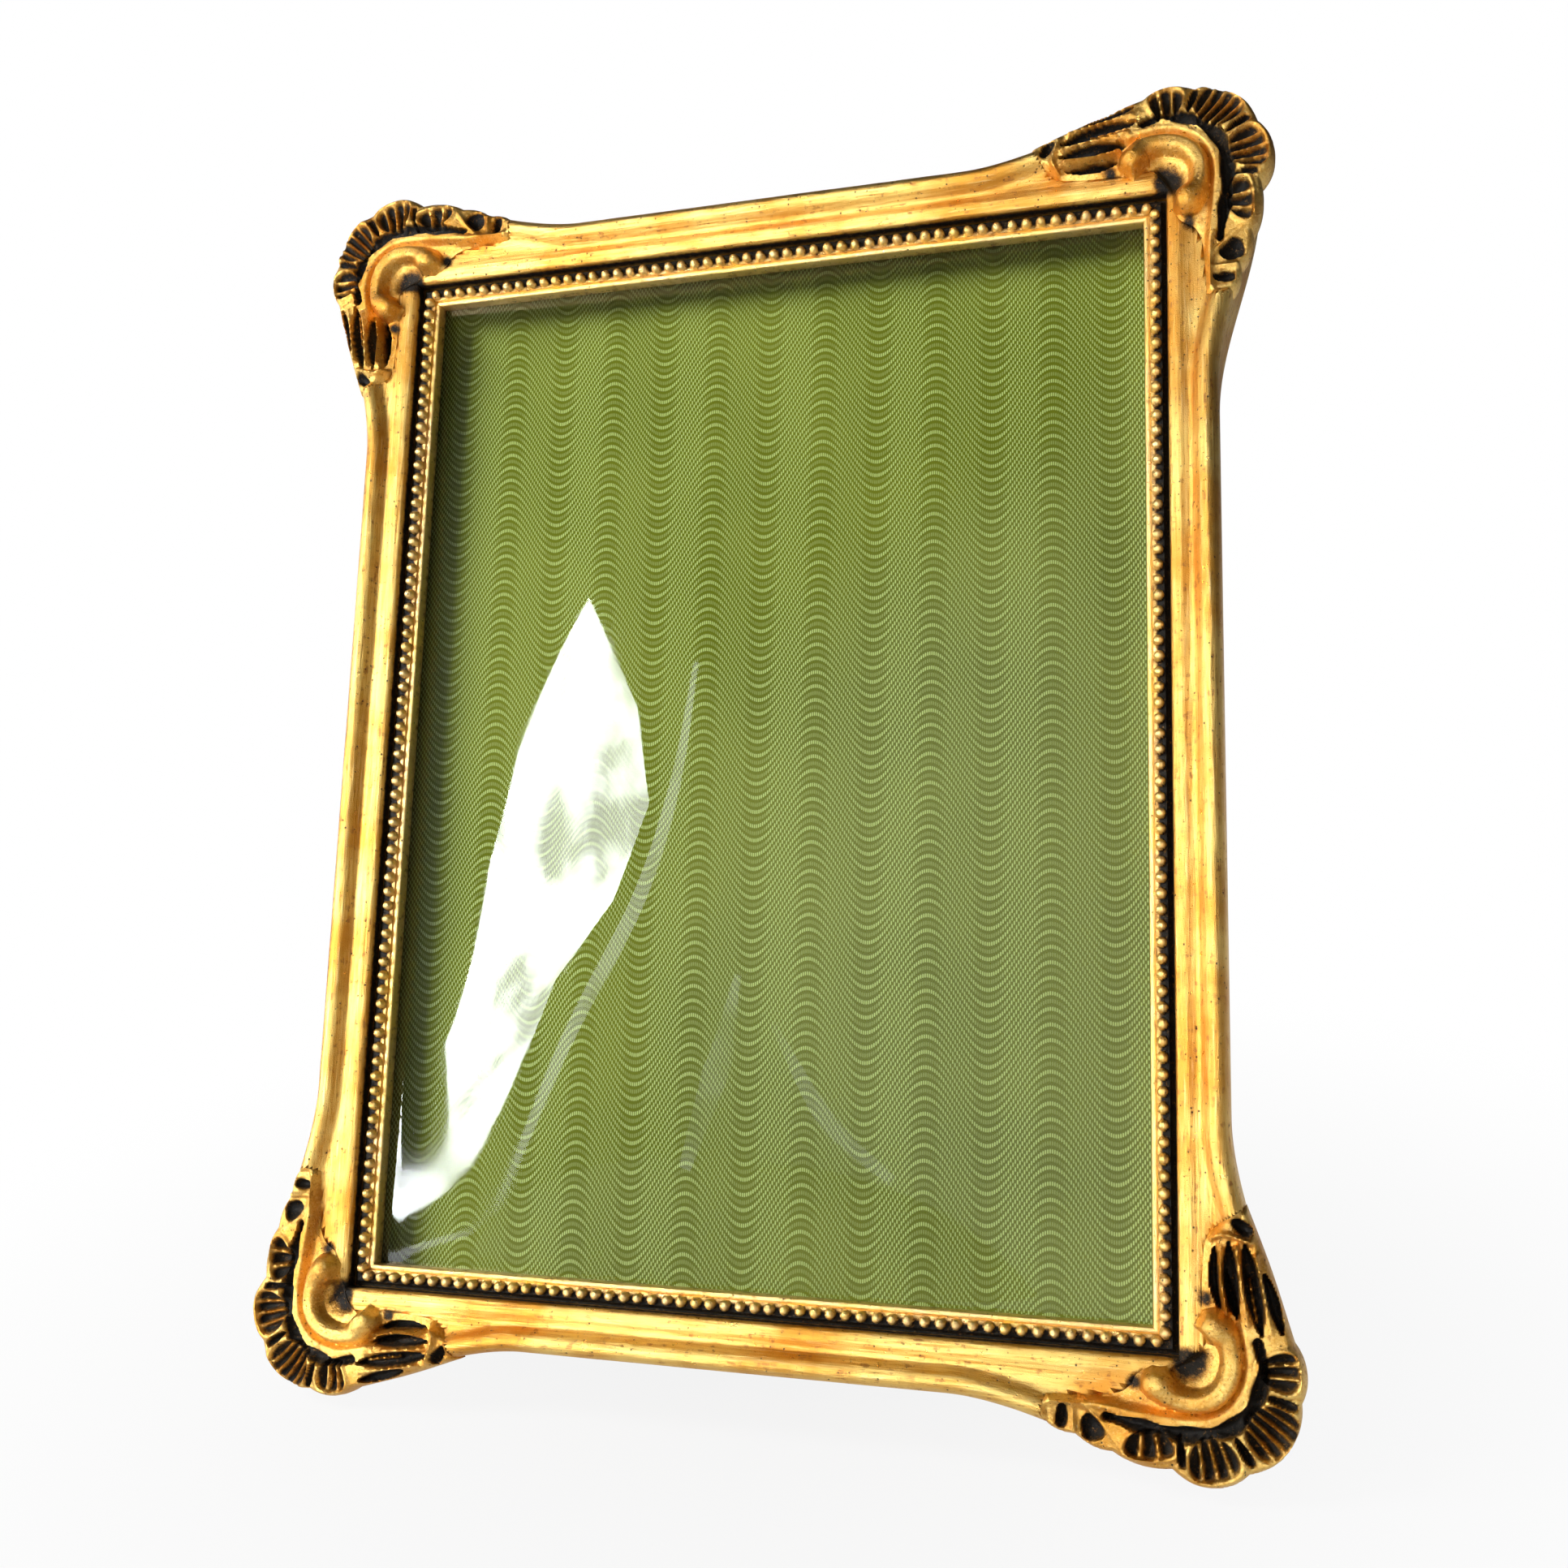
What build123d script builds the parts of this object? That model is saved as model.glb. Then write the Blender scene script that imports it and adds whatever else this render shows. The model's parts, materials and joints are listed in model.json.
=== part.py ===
from build123d import *
from math import asin, cos, radians, sin
import os

# A small gilt photograph frame that leans back on an easel strut.
#
# Everything is drawn lying flat: X to the right, Y up the frame, Z towards the viewer, with the
# origin at the centre of the sight opening, in the plane of the sight edge. "Out" means the distance
# outward from the sight edge. The helper `save` stands each finished piece up on the table.

# ---- driving dimensions, mm ----
sight_half_x = 87.0  # half the visible opening, for an 18 x 24 cm print
sight_half_y = 117.2
rail_width = 15.4  # sight edge to outer edge, in the middle of a rail
lip_out = 5.0  # the rail's own inner edge stands this far outside the sight edge
rebate_out = 8.2  # wall of the rebate behind the lip
rail_crest = 6.5
lip_front = 3.4
lip_back = -1.0
back_z = -15.0  # back plane of the rails and of the back board
flare_out = 9.5  # how far the outer edge swings out at a corner
flare_start = -40.5  # distance along the rail from the sight corner where the swing starts
flare_length = 50.0
corner_round = 13.0
fit_gap = 0.05  # between pieces that are laid or glued together
mitre_gap = 0.02

bead_radius = 1.15
bead_out = 2.5
bead_height = 1.25
bead_pitch = 3.31

glass_thickness = 2.0
glass_rise = 9.0
glass_front = -3.05  # flat rim of the glass, against the slips
stack_out = 7.9  # glass, paper, card, pad and board all reach this far under the slips

lean = 19.0  # degrees the frame leans back
strut_opening = 26.0  # degrees between the open strut and the back
footprint_middle = 41.51  # from the foot's back edge to the middle of the standing frame's depth
foot_cut = 0.7  # how much of the lowest back edge is cut away, so that the frame stands on a flat

hinge_y = 80.0
hinge_leaf = 1.0
board_leaf_size = (32.0, 24.0)
strut_leaf_size = (26.0, 26.0)
centre_knuckle = 12.0
knuckle_gap = 0.2
barrel_radius = 2.0
pin_radius = 1.0
pin_gap = 0.04
pin_head = 0.8
strut_thickness = 3.0
strut_top_width = 40.0
strut_foot_width = 66.0

nail_places = (12.0, 18.0)  # out from the sight edge, along the mitre
nail_leg = 3.6
nail_thickness = 0.8
nail_depth = 8.0

paper_thickness = 0.3
card_thickness = 1.5
pad_thickness = 3.95
board_thickness = 4.0

button_size = (18.0, 7.0)
button_thickness = 1.0
screw_out = 11.8  # button screws stand in the middle of the rail's back
screw_radius = 0.95
screw_gap = 0.05
screw_length = 9.0
hanger_screw_length = 5.2
slot_width = 0.5

hanger_y = 117.0
hanger_width = 9.0
hanger_strap = 12.0
hanger_fold = 1.6  # two layers of strip
ring_wire = 0.9
ring_bend = 6.5
eye_wall = 0.8

corners = {"top_right": 0, "top_left": 90, "bottom_left": 180, "bottom_right": 270}
sides = {"top": 0, "left": 90, "bottom": 180, "right": 270}

rest_y = foot_cut - (sight_half_y + rail_width + flare_out)

# ---- where the flat drawing stands ----
table = Plane(origin=(0, rest_y, back_z), z_dir=(0, cos(radians(lean)), sin(radians(lean))))
standing = Plane(
    origin=(
        0,
        -rest_y * sin(radians(lean)) + back_z * cos(radians(lean)) - footprint_middle,
        -rest_y * cos(radians(lean)) - back_z * sin(radians(lean)),
    ),
    x_dir=(1, 0, 0),
    z_dir=(0, -cos(radians(lean)), sin(radians(lean))),
)

os.makedirs("parts", exist_ok=True)


def save(piece, name):
    """Stand a finished piece up and write it."""
    upright = piece.moved(standing.location)
    upright.label = name
    export_step(upright, f"parts/{name}.step")


def side_halves(angle):
    """Half the sight length of a side, and how far that side lies from the centre."""
    if angle % 180 == 0:
        return sight_half_x, sight_half_y
    return sight_half_y, sight_half_x


def corner_location(angle):
    """The sight corner that a quarter turn brings the top right corner to."""
    half_length, half_distance = side_halves(angle)
    return Rot(0, 0, angle) * Pos(half_length, half_distance, 0)


# ---- corner ornament, drawn round the top right sight corner ----
scroll_start = (-1.8, 11.0)
scroll_crown = (10.4, 13.2)
scroll_end = (9.6, 0.6)
scroll_height = 4.4
scroll_radius = 2.6
bulb_radius = 3.3
ornament_base = 4.0
shell_top = 6.4
hollow_floor = 3.2

# hollows of the shell: centre, half sizes along and across, direction in degrees
shell_hollows = [
    ((5.0, 23.8), 3.4, 2.6, 95),
    ((16.4, 21.8), 4.2, 3.4, 50),
    ((22.6, 11.4), 4.2, 3.2, 10),
    ((20.4, -1.6), 2.4, 4.2, 0),
]
small_hollows = [((18.4, -11.4), 2.4, 2.0, 18), ((16.9, -17.2), 2.2, 1.1, -4)]
leaf_flutes = [((-10.5, 12.0), 11.5, 1.6), ((-10.2, 15.6), 13.5, 2.2), ((-10.0, 19.4), 12.0, 2.2)]


def ornament_plan():
    """Plan of the casting: smooth inside, scalloped outside."""
    with BuildSketch() as plan:
        with BuildLine():
            inner = Polyline((-24.6, 18.2), (-19.0, 11.0), (-3.0, 9.0), (5.6, 5.6), (8.4, -2.4), (12.6, -8), (13.3, -20.4))
            tail = SagittaArc(inner @ 1, (18.9, -20.6), -0.6)
            lobe_a = SagittaArc(tail @ 1, (20.6, -14.8), -0.6)
            lobe_b = SagittaArc(lobe_a @ 1, (23.2, -7.6), -0.8)
            lobe_c = SagittaArc(lobe_b @ 1, (25.2, 3.6), -1.0)
            lobe_d = SagittaArc(lobe_c @ 1, (24.8, 18.0), -3.0)
            lobe_e = SagittaArc(lobe_d @ 1, (11.4, 27.6), -3.0)
            lobe_f = SagittaArc(lobe_e @ 1, (0.6, 26.6), -1.6)
            Spline(lobe_f @ 1, (-12.5, 22.6), inner @ 0)
        make_face()
        with Locations(scroll_start, scroll_end):
            Circle(bulb_radius)
    return plan.sketch


def shell_plan():
    """The raised outer fan of the casting."""
    with BuildSketch() as fan:
        with BuildLine():
            root = ThreePointArc((0.4, 18.4), (13.6, 14.4), (17.4, 4.6))
            foot = Line(root @ 1, (17.6, -8.0))
            Polyline(foot @ 1, (32, -8), (32, 32), (0.4, 32), root @ 0)
        make_face()
    return fan.sketch & ornament_plan()


with BuildPart() as ornament:
    with BuildSketch(Plane.XY.offset(fit_gap)):
        add(ornament_plan())
    extrude(amount=ornament_base - fit_gap)
    with BuildSketch(Plane.XY.offset(ornament_base)):
        add(shell_plan())
    extrude(amount=shell_top - ornament_base)
    for centre, along, across, angle in shell_hollows + small_hollows:
        with BuildSketch(Plane.XY.offset(hollow_floor)):
            with Locations(Location(centre, angle)):
                Ellipse(along, across)
        extrude(amount=shell_top, mode=Mode.SUBTRACT)
    for centre, length, width in leaf_flutes:
        with BuildSketch(Plane.XY.offset(hollow_floor)):
            with Locations(Location(centre, 8)):
                SlotOverall(length, width)
        extrude(amount=shell_top, mode=Mode.SUBTRACT)
    with BuildLine(Plane.XY.offset(scroll_height)) as scroll_path:
        ThreePointArc(scroll_start, scroll_crown, scroll_end)
    with BuildSketch(Plane(origin=scroll_path.line @ 0, z_dir=scroll_path.line % 0)):
        Circle(scroll_radius)
    sweep(path=scroll_path.line)
    with Locations((*scroll_start, scroll_height), (*scroll_end, scroll_height)):
        Sphere(bulb_radius)

for name, angle in corners.items():
    save(ornament.part.moved(corner_location(angle)), f"ornament_{name}")


# ---- rails ----
def flare(along):
    """How far the outer edge has swung out at a distance along from the sight corner."""
    t = min(max((along - flare_start) / flare_length, 0.0), 1.0)
    return flare_out * t * t * (3 - 2 * t)


def rail_section(distance, swing):
    """Section of a rail: X is out from the centre, Y is height above the sight edge plane."""
    heel = distance + rebate_out
    lip = distance + lip_out
    edge = distance + rail_width + swing
    with BuildSketch() as section:
        with BuildLine():
            inside = Polyline((heel, back_z), (heel, lip_back), (lip, lip_back), (lip, lip_front))
            band = Line(inside @ 1, (edge - 5.6, 2.8))
            cove = Line(band @ 1, (edge - 4.6, 2.4))
            roll = ThreePointArc(cove @ 1, (edge - 2.4, rail_crest), (edge, 3.8))
            Polyline(roll @ 1, (edge, back_z), inside @ 0)
        make_face()
    return section.sketch


def across_rail(along):
    """Plane across a rail that lies along X."""
    return Plane(origin=(along, 0, 0), x_dir=(0, 1, 0), z_dir=(1, 0, 0))


def mitre_wedge(half_length, distance, depth=30.0):
    """Space of the piece on the +Y side, between its two mitre lines."""
    inner = half_length - mitre_gap
    with BuildSketch(Plane.XY.offset(back_z)) as wedge:
        with BuildLine():
            Polyline((-inner, distance), (inner, distance), (inner + depth, distance + depth))
            Polyline((inner + depth, distance + depth), (-inner - depth, distance + depth), (-inner, distance))
        make_face()
    return extrude(wedge.sketch, amount=2 * depth, mode=Mode.PRIVATE)


def corner_nails(growth):
    """Two V-nails driven into the mitre of the top right sight corner from the back."""
    with BuildPart() as nails:
        for out in nail_places:
            with BuildSketch(Plane.XY.offset(back_z)):
                with Locations((out, out)):
                    Rectangle(nail_leg + growth, nail_thickness + 2 * growth, align=(Align.MIN, Align.CENTER))
                    Rectangle(nail_thickness + 2 * growth, nail_leg + growth, align=(Align.CENTER, Align.MIN))
                    Rectangle(nail_thickness + 2 * growth, nail_thickness + 2 * growth)
            extrude(amount=nail_depth + growth)
    return nails.part


def rail(half_length, distance, screws):
    """A rail that lies along X with its outer edge towards +Y, with pilot holes at `screws`."""
    stations = [flare_start + step * flare_length / 8 for step in range(9)] + [30.0]
    outer_x = half_length + rail_width + flare_out
    outer_y = distance + rail_width + flare_out
    ends = (Pos(half_length, distance, 0), Pos(-half_length, distance, 0) * Rot(0, 0, 90))
    with BuildPart() as body:
        straight = half_length + flare_start
        with BuildSketch(across_rail(-straight)):
            add(rail_section(distance, 0))
        extrude(amount=2 * straight)
        for end in (1, -1):
            for along in stations:
                with BuildSketch(across_rail(end * (half_length + along))):
                    add(rail_section(distance, flare(along)))
            loft(ruled=True)
        with BuildSketch(Plane.XY.offset(back_z)):
            RectangleRounded(2 * outer_x, 2 * outer_y, corner_round)
        extrude(amount=2 * flare_length, mode=Mode.INTERSECT)
        add(mitre_wedge(half_length, distance), mode=Mode.INTERSECT)
        for end in ends:
            with BuildSketch(Plane.XY) as seat:
                add(end * ornament_plan())
                offset(amount=fit_gap)
            extrude(amount=flare_length, mode=Mode.SUBTRACT)
            add(end * corner_nails(mitre_gap), mode=Mode.SUBTRACT)
        with Locations([(along, distance + screw_out, back_z) for along in screws]):
            Cylinder(
                screw_radius + mitre_gap,
                screw_length,
                align=(Align.CENTER, Align.CENTER, Align.MIN),
                mode=Mode.SUBTRACT,
            )
    return body.part


# turn buttons: name, side, distance along that side from its middle
buttons = [
    ("top_left", "top", -45.0),
    ("top_right", "top", 45.0),
    ("left", "left", 0.0),
    ("right", "right", 0.0),
    ("bottom_left", "bottom", 45.0),
    ("bottom_right", "bottom", -45.0),
]

for name, angle in sides.items():
    half_length, distance = side_halves(angle)
    own_screws = [along for _, side, along in buttons if side == name]
    piece = Rot(0, 0, angle) * rail(half_length, distance, own_screws)
    save(split(piece, bisect_by=table, keep=Keep.TOP), f"rail_{name}")

with BuildPart() as v_nails:
    for angle in corners.values():
        add(corner_location(angle) * corner_nails(0))
save(v_nails.part, "v_nails")


# ---- beaded slips ----
def slip(half_length, distance):
    """A beaded slip: a flat flange under the rail's lip and a row of beads beside the sight edge."""
    count = round(2 * (half_length + bead_out) / bead_pitch)
    pitch = 2 * (half_length + bead_out) / count
    flange = distance + rebate_out - fit_gap
    flange_top = lip_back - fit_gap
    with BuildPart() as body:
        with BuildSketch(across_rail(0)):
            with BuildLine():
                edge = Polyline((flange, -3.0), (distance, -3.0), (distance, 0), (distance + 1.3, 0))
                step = Polyline(edge @ 1, (distance + 1.4, 0.5), (distance + 3.7, 0.5))
                Polyline(step @ 1, (distance + 4.2, -0.6), (distance + 4.6, flange_top), (flange, flange_top), edge @ 0)
            make_face()
        extrude(amount=half_length + rail_width, both=True)
        with Locations((0, distance + bead_out, bead_height)):
            with GridLocations(pitch, 1, count, 1):
                Sphere(bead_radius)
        add(mitre_wedge(half_length, distance), mode=Mode.INTERSECT)
    return body.part


for name, angle in sides.items():
    save(Rot(0, 0, angle) * slip(*side_halves(angle)), f"beaded_slip_{name}")


# ---- glass, sheet, card, pad and board ----
stack_x = 2 * (sight_half_x + stack_out)
stack_y = 2 * (sight_half_y + stack_out)
dome_x = sight_half_x - 1.0
dome_y = sight_half_y - 1.0


def dome_point(column, row, cells):
    """Point of the domed face: flat at the rim, highest in the middle."""
    across = 2 * column / cells - 1
    up = 2 * row / cells - 1
    height = glass_rise * (1 - abs(across) ** 2.4) * (1 - abs(up) ** 2.4)
    return Vector(dome_x * across, dome_y * up, glass_front + height)


dome_cells = 10
dome_grid = [[dome_point(i, j, dome_cells) for j in range(dome_cells + 1)] for i in range(dome_cells + 1)]
dome_face = Face.make_surface_from_array_of_points(dome_grid)

with BuildPart() as glass:
    with BuildSketch(Plane.XY.offset(glass_front)):
        Rectangle(stack_x, stack_y)
        Rectangle(2 * dome_x, 2 * dome_y, mode=Mode.SUBTRACT)
    extrude(amount=-glass_thickness)
    extrude(dome_face, amount=glass_thickness, dir=(0, 0, -1))
save(glass.part, "domed_glass")


def sheet(front, thickness):
    """A flat rectangular layer of the stack, with its front at a height."""
    with BuildPart() as layer:
        with BuildSketch(Plane.XY.offset(front)):
            RectangleRounded(stack_x, stack_y, 1.0)
        extrude(amount=-thickness)
    return layer.part


paper_front = glass_front - glass_thickness - fit_gap
card_front = paper_front - paper_thickness - fit_gap
pad_front = card_front - card_thickness - fit_gap
board_front = back_z + board_thickness
save(sheet(paper_front, paper_thickness), "patterned_sheet")
save(sheet(card_front, card_thickness), "mount_card")
save(sheet(pad_front, pad_front - board_front - fit_gap), "filler_pad")


# ---- fasteners ----
def dome(radius, height):
    """Arc over a round head, centred on the head's axis so that the head is part of a ball."""
    ball = (radius**2 + height**2) / (2 * height)
    turn = asin(radius / ball) / 2
    return ThreePointArc((radius, 0), (ball * sin(turn), height - ball + ball * cos(turn)), (0, height))


def screw(length):
    """Round-head slotted wood screw: head above the origin, pointed shank below it."""
    with BuildPart() as body:
        with BuildSketch(Plane.XZ):
            with BuildLine():
                Polyline((0, 1.1), (0, -length), (screw_radius, 2.0 - length), (screw_radius, 0), (2.0, 0))
                dome(2.0, 1.1)
            make_face()
        revolve(axis=Axis.Z)
        with Locations((0, 0, 0.6)):
            Box(6, slot_width, 2, align=(Align.CENTER, Align.CENTER, Align.MIN), mode=Mode.SUBTRACT)
    return body.part


rivet_radius = 1.2
rivet_flare = 0.8


def rivet(grip, growth=0.0):
    """Domed rivet: head above the origin, shank flared at the far end of the grip."""
    shank = rivet_radius + growth
    with BuildPart() as body:
        with BuildSketch(Plane.XZ):
            with BuildLine():
                side = Polyline((0, 0.8), (0, -grip), (shank + rivet_flare, -grip), (shank, rivet_flare - grip))
                Polyline(side @ 1, (shank, 0), (2.4, 0))
                dome(2.4, 0.8)
            make_face()
        revolve(axis=Axis.Z)
    return body.part


# ---- easel hinge and strut ----
pivot_z = back_z - fit_gap - barrel_radius
board_rivet_places = [(x, hinge_y + y) for x in (-11, 11) for y in (8, 18)]
strut_rivet_places = [(x, y) for x in (-8, 8) for y in (-9, -20)]
board_grip = hinge_leaf + fit_gap + board_thickness
strut_grip = hinge_leaf + fit_gap + strut_thickness
strut_plane = Plane(
    origin=(0, hinge_y, pivot_z),
    x_dir=(1, 0, 0),
    z_dir=(0, -sin(radians(strut_opening)), cos(radians(strut_opening))),
)
leaf_outside = Plane(origin=(0, 0, back_z - fit_gap - hinge_leaf), x_dir=(-1, 0, 0), z_dir=(0, 0, -1))


def on_board(x, y):
    """Place on the outside of the board leaf, facing away from the board."""
    return leaf_outside.location * Pos(-x, y, 0)


def on_strut(x, y):
    """Place on the front of the strut leaf, facing the board."""
    return strut_plane.location * Pos(x, y, hinge_leaf - barrel_radius)


def pin_place(x=0.0):
    """Place on the hinge pin's axis, looking along it."""
    return Location((x, hinge_y, pivot_z), (0, 90, 0))


with BuildPart() as hinge_board_leaf:
    leaf_x, leaf_y = board_leaf_size
    knuckle = (leaf_x - centre_knuckle) / 2 - knuckle_gap
    with BuildSketch(Plane.XY.offset(back_z - fit_gap)):
        with Locations((0, hinge_y)):
            Rectangle(leaf_x, leaf_y, align=(Align.CENTER, Align.MIN))
            clear_y = 2 * (barrel_radius + 4 * knuckle_gap)
            Rectangle(centre_knuckle + 2 * knuckle_gap, clear_y, mode=Mode.SUBTRACT)
    extrude(amount=-hinge_leaf)
    with Locations([pin_place(side * (leaf_x - knuckle) / 2) for side in (1, -1)]):
        Cylinder(barrel_radius, knuckle)
    with Locations(pin_place()):
        Cylinder(pin_radius + pin_gap, 2 * leaf_x, mode=Mode.SUBTRACT)
    for place in board_rivet_places:
        add(on_board(*place) * rivet(board_grip, mitre_gap), mode=Mode.SUBTRACT)
save(hinge_board_leaf.part, "hinge_board_leaf")

# The heel of the strut leaf runs past the pin and meets the board leaf when the strut is open.
heel_reach = barrel_radius - hinge_leaf - mitre_gap
stop_heel = (heel_reach + (barrel_radius - hinge_leaf) * cos(radians(strut_opening))) / sin(radians(strut_opening))

with BuildPart() as hinge_strut_leaf:
    leaf_x, leaf_y = strut_leaf_size
    with BuildSketch(strut_plane.offset(-barrel_radius)):
        Rectangle(leaf_x, leaf_y, align=(Align.CENTER, Align.MAX))
        Rectangle(leaf_x, 2 * (barrel_radius + 4 * knuckle_gap), mode=Mode.SUBTRACT)
        Rectangle(centre_knuckle, 4 * barrel_radius, align=(Align.CENTER, Align.MAX))
        Rectangle(centre_knuckle - 1, stop_heel, align=(Align.CENTER, Align.MIN))
    extrude(amount=hinge_leaf)
    with Locations(pin_place()):
        Cylinder(barrel_radius, centre_knuckle)
        Cylinder(pin_radius + pin_gap, 2 * centre_knuckle, mode=Mode.SUBTRACT)
    for place in strut_rivet_places:
        add(on_strut(*place) * rivet(strut_grip, mitre_gap), mode=Mode.SUBTRACT)
save(hinge_strut_leaf.part, "hinge_strut_leaf")

with BuildPart() as hinge_pin:
    pin_length = board_leaf_size[0] + 2 * knuckle_gap
    with Locations(pin_place()):
        Cylinder(pin_radius, pin_length)
    with Locations([pin_place(side * (pin_length + pin_head) / 2) for side in (1, -1)]):
        Cylinder(pin_radius + pin_head / 2, pin_head)
save(hinge_pin.part, "hinge_pin")

with BuildPart() as strut:
    with BuildSketch(strut_plane.offset(-barrel_radius - fit_gap - strut_thickness)):
        with BuildLine():
            top = -barrel_radius - 1.5
            foot = -(hinge_y - rest_y)
            Polyline(
                (-strut_top_width / 2, top),
                (strut_top_width / 2, top),
                (strut_foot_width / 2, foot),
                (-strut_foot_width / 2, foot),
                (-strut_top_width / 2, top),
            )
        face = make_face()
        fillet(face.vertices().group_by(Axis.Y)[-1], 8)
    extrude(amount=strut_thickness)
    split(bisect_by=table, keep=Keep.TOP)
    for place in strut_rivet_places:
        add(on_strut(*place) * rivet(strut_grip, mitre_gap), mode=Mode.SUBTRACT)
save(strut.part, "easel_strut")

board_rivets = Compound([on_board(*place) * rivet(board_grip) for place in board_rivet_places])
save(board_rivets, "hinge_board_rivets")
strut_rivets = Compound([on_strut(*place) * rivet(strut_grip) for place in strut_rivet_places])
save(strut_rivets, "hinge_strut_rivets")


# ---- hanging ring ----
eye_radius = ring_wire + screw_gap + eye_wall
eye_z = back_z - fit_gap - eye_radius
hanger_screw_y = hanger_y - hanger_strap + 4.5
hanger_screw_place = Pos(0, hanger_screw_y, back_z - 2 * fit_gap - hanger_fold) * Rot(180, 0, 0)

with BuildPart() as hanger_strap_piece:
    with BuildSketch(Plane.XY.offset(back_z - fit_gap)):
        with Locations((0, hanger_y)):
            Rectangle(hanger_width, hanger_strap, align=(Align.CENTER, Align.MAX))
    extrude(amount=-hanger_fold)
    fillet(hanger_strap_piece.edges().filter_by(Axis.Z).group_by(Axis.Y)[0], 3)
    with Locations(Location((0, hanger_y, eye_z), (0, 90, 0))):
        Cylinder(eye_radius, hanger_width)
        Cylinder(ring_wire + screw_gap, 2 * hanger_width, mode=Mode.SUBTRACT)
    with Locations((0, hanger_screw_y, back_z)):
        Cylinder(screw_radius + screw_gap, 4 * hanger_fold, mode=Mode.SUBTRACT)
save(hanger_strap_piece.part, "hanger_strap")

ring_plane = Plane(
    origin=(0, hanger_y, eye_z), x_dir=(1, 0, 0), z_dir=(0, sin(radians(lean)), -cos(radians(lean)))
)
with BuildPart() as ring:
    with BuildLine(ring_plane) as ring_path:
        bar = Line((-ring_bend, 0), (ring_bend, 0))
        arm = Line(bar @ 1, (ring_bend, 3))
        bend = ThreePointArc(arm @ 1, (0, 3 + ring_bend), (-ring_bend, 3))
        Line(bend @ 1, bar @ 0)
    with BuildSketch(Plane(origin=ring_path.line @ 0, z_dir=ring_path.line % 0)):
        Circle(ring_wire)
    sweep(path=ring_path.line, transition=Transition.ROUND)
save(ring.part, "hanging_ring")
save(hanger_screw_place * screw(hanger_screw_length), "hanger_screw")


# ---- back board, turn buttons and their screws ----
with BuildPart() as board:
    add(sheet(board_front, board_thickness))
    for place in board_rivet_places:
        add(on_board(*place) * rivet(board_grip, mitre_gap), mode=Mode.SUBTRACT)
    with Locations((0, hanger_screw_y, back_z)):
        Cylinder(screw_radius + mitre_gap, 2 * (board_thickness - 0.2), mode=Mode.SUBTRACT)
save(board.part, "back_board")

with BuildPart() as button:
    length, width = button_size
    with BuildSketch(Plane.XY.offset(back_z - fit_gap)):
        with Locations((0, width / 2 - length / 2)):
            SlotOverall(length, width, rotation=90)
        Circle(screw_radius + screw_gap, mode=Mode.SUBTRACT)
    extrude(amount=-button_thickness)
    chamfer(button.faces().sort_by(Axis.Z)[0].outer_wire().edges(), 0.25)

button_screw = Pos(0, 0, back_z - 2 * fit_gap - button_thickness) * Rot(180, 0, 0) * screw(screw_length)
button_screws = []
for name, side, along in buttons:
    half_length, distance = side_halves(sides[side])
    place = Rot(0, 0, sides[side]) * Pos(along, distance + screw_out, 0)
    save(place * button.part, f"turn_button_{name}")
    button_screws.append(place * button_screw)
save(Compound(button_screws), "turn_button_screws")
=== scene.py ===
import json
import math
import random

import bpy
import numpy as np
from mathutils import Matrix, Vector, geometry, noise


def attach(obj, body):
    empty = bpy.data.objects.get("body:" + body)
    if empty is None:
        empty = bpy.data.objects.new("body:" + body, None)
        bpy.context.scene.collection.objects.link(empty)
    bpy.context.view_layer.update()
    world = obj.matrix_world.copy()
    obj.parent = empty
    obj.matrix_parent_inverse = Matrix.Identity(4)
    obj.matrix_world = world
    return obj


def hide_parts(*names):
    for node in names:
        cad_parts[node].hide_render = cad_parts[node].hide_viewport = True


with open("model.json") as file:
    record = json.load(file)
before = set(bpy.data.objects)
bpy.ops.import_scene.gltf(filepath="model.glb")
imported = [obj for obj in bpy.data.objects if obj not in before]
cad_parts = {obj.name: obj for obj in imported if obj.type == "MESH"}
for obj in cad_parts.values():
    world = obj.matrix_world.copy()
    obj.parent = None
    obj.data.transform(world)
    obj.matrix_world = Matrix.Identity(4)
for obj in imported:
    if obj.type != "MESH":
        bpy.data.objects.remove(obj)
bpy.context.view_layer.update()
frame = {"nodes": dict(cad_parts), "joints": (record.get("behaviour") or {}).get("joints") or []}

# A gilt photograph frame: carved look on the four rails and corners, a beaded slip, domed glass over a
# patterned sheet, and an easel back. Shapes are worked out in the frame's own axes, in millimetres:
# X to the right, Y up the frame, Z out of its face, from the centre of the sight opening.

# ---- the frame's own axes ----
MM = 0.001
joints = {joint["name"]: joint for joint in frame["joints"]}
right = np.array((1.0, 0.0, 0.0))
forward = np.array(joints["turn_button_left_pivot"]["axis"])
up = np.cross(forward, right)
axes = np.stack((right, up, forward))


def node_points(name):
    """A CAD node's vertices along the frame's axes, in mm from the row's origin."""
    mesh = frame["nodes"][name].data
    points = np.empty(len(mesh.vertices) * 3)
    mesh.vertices.foreach_get("co", points)
    return points.reshape(-1, 3) @ axes.T / MM


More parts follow.
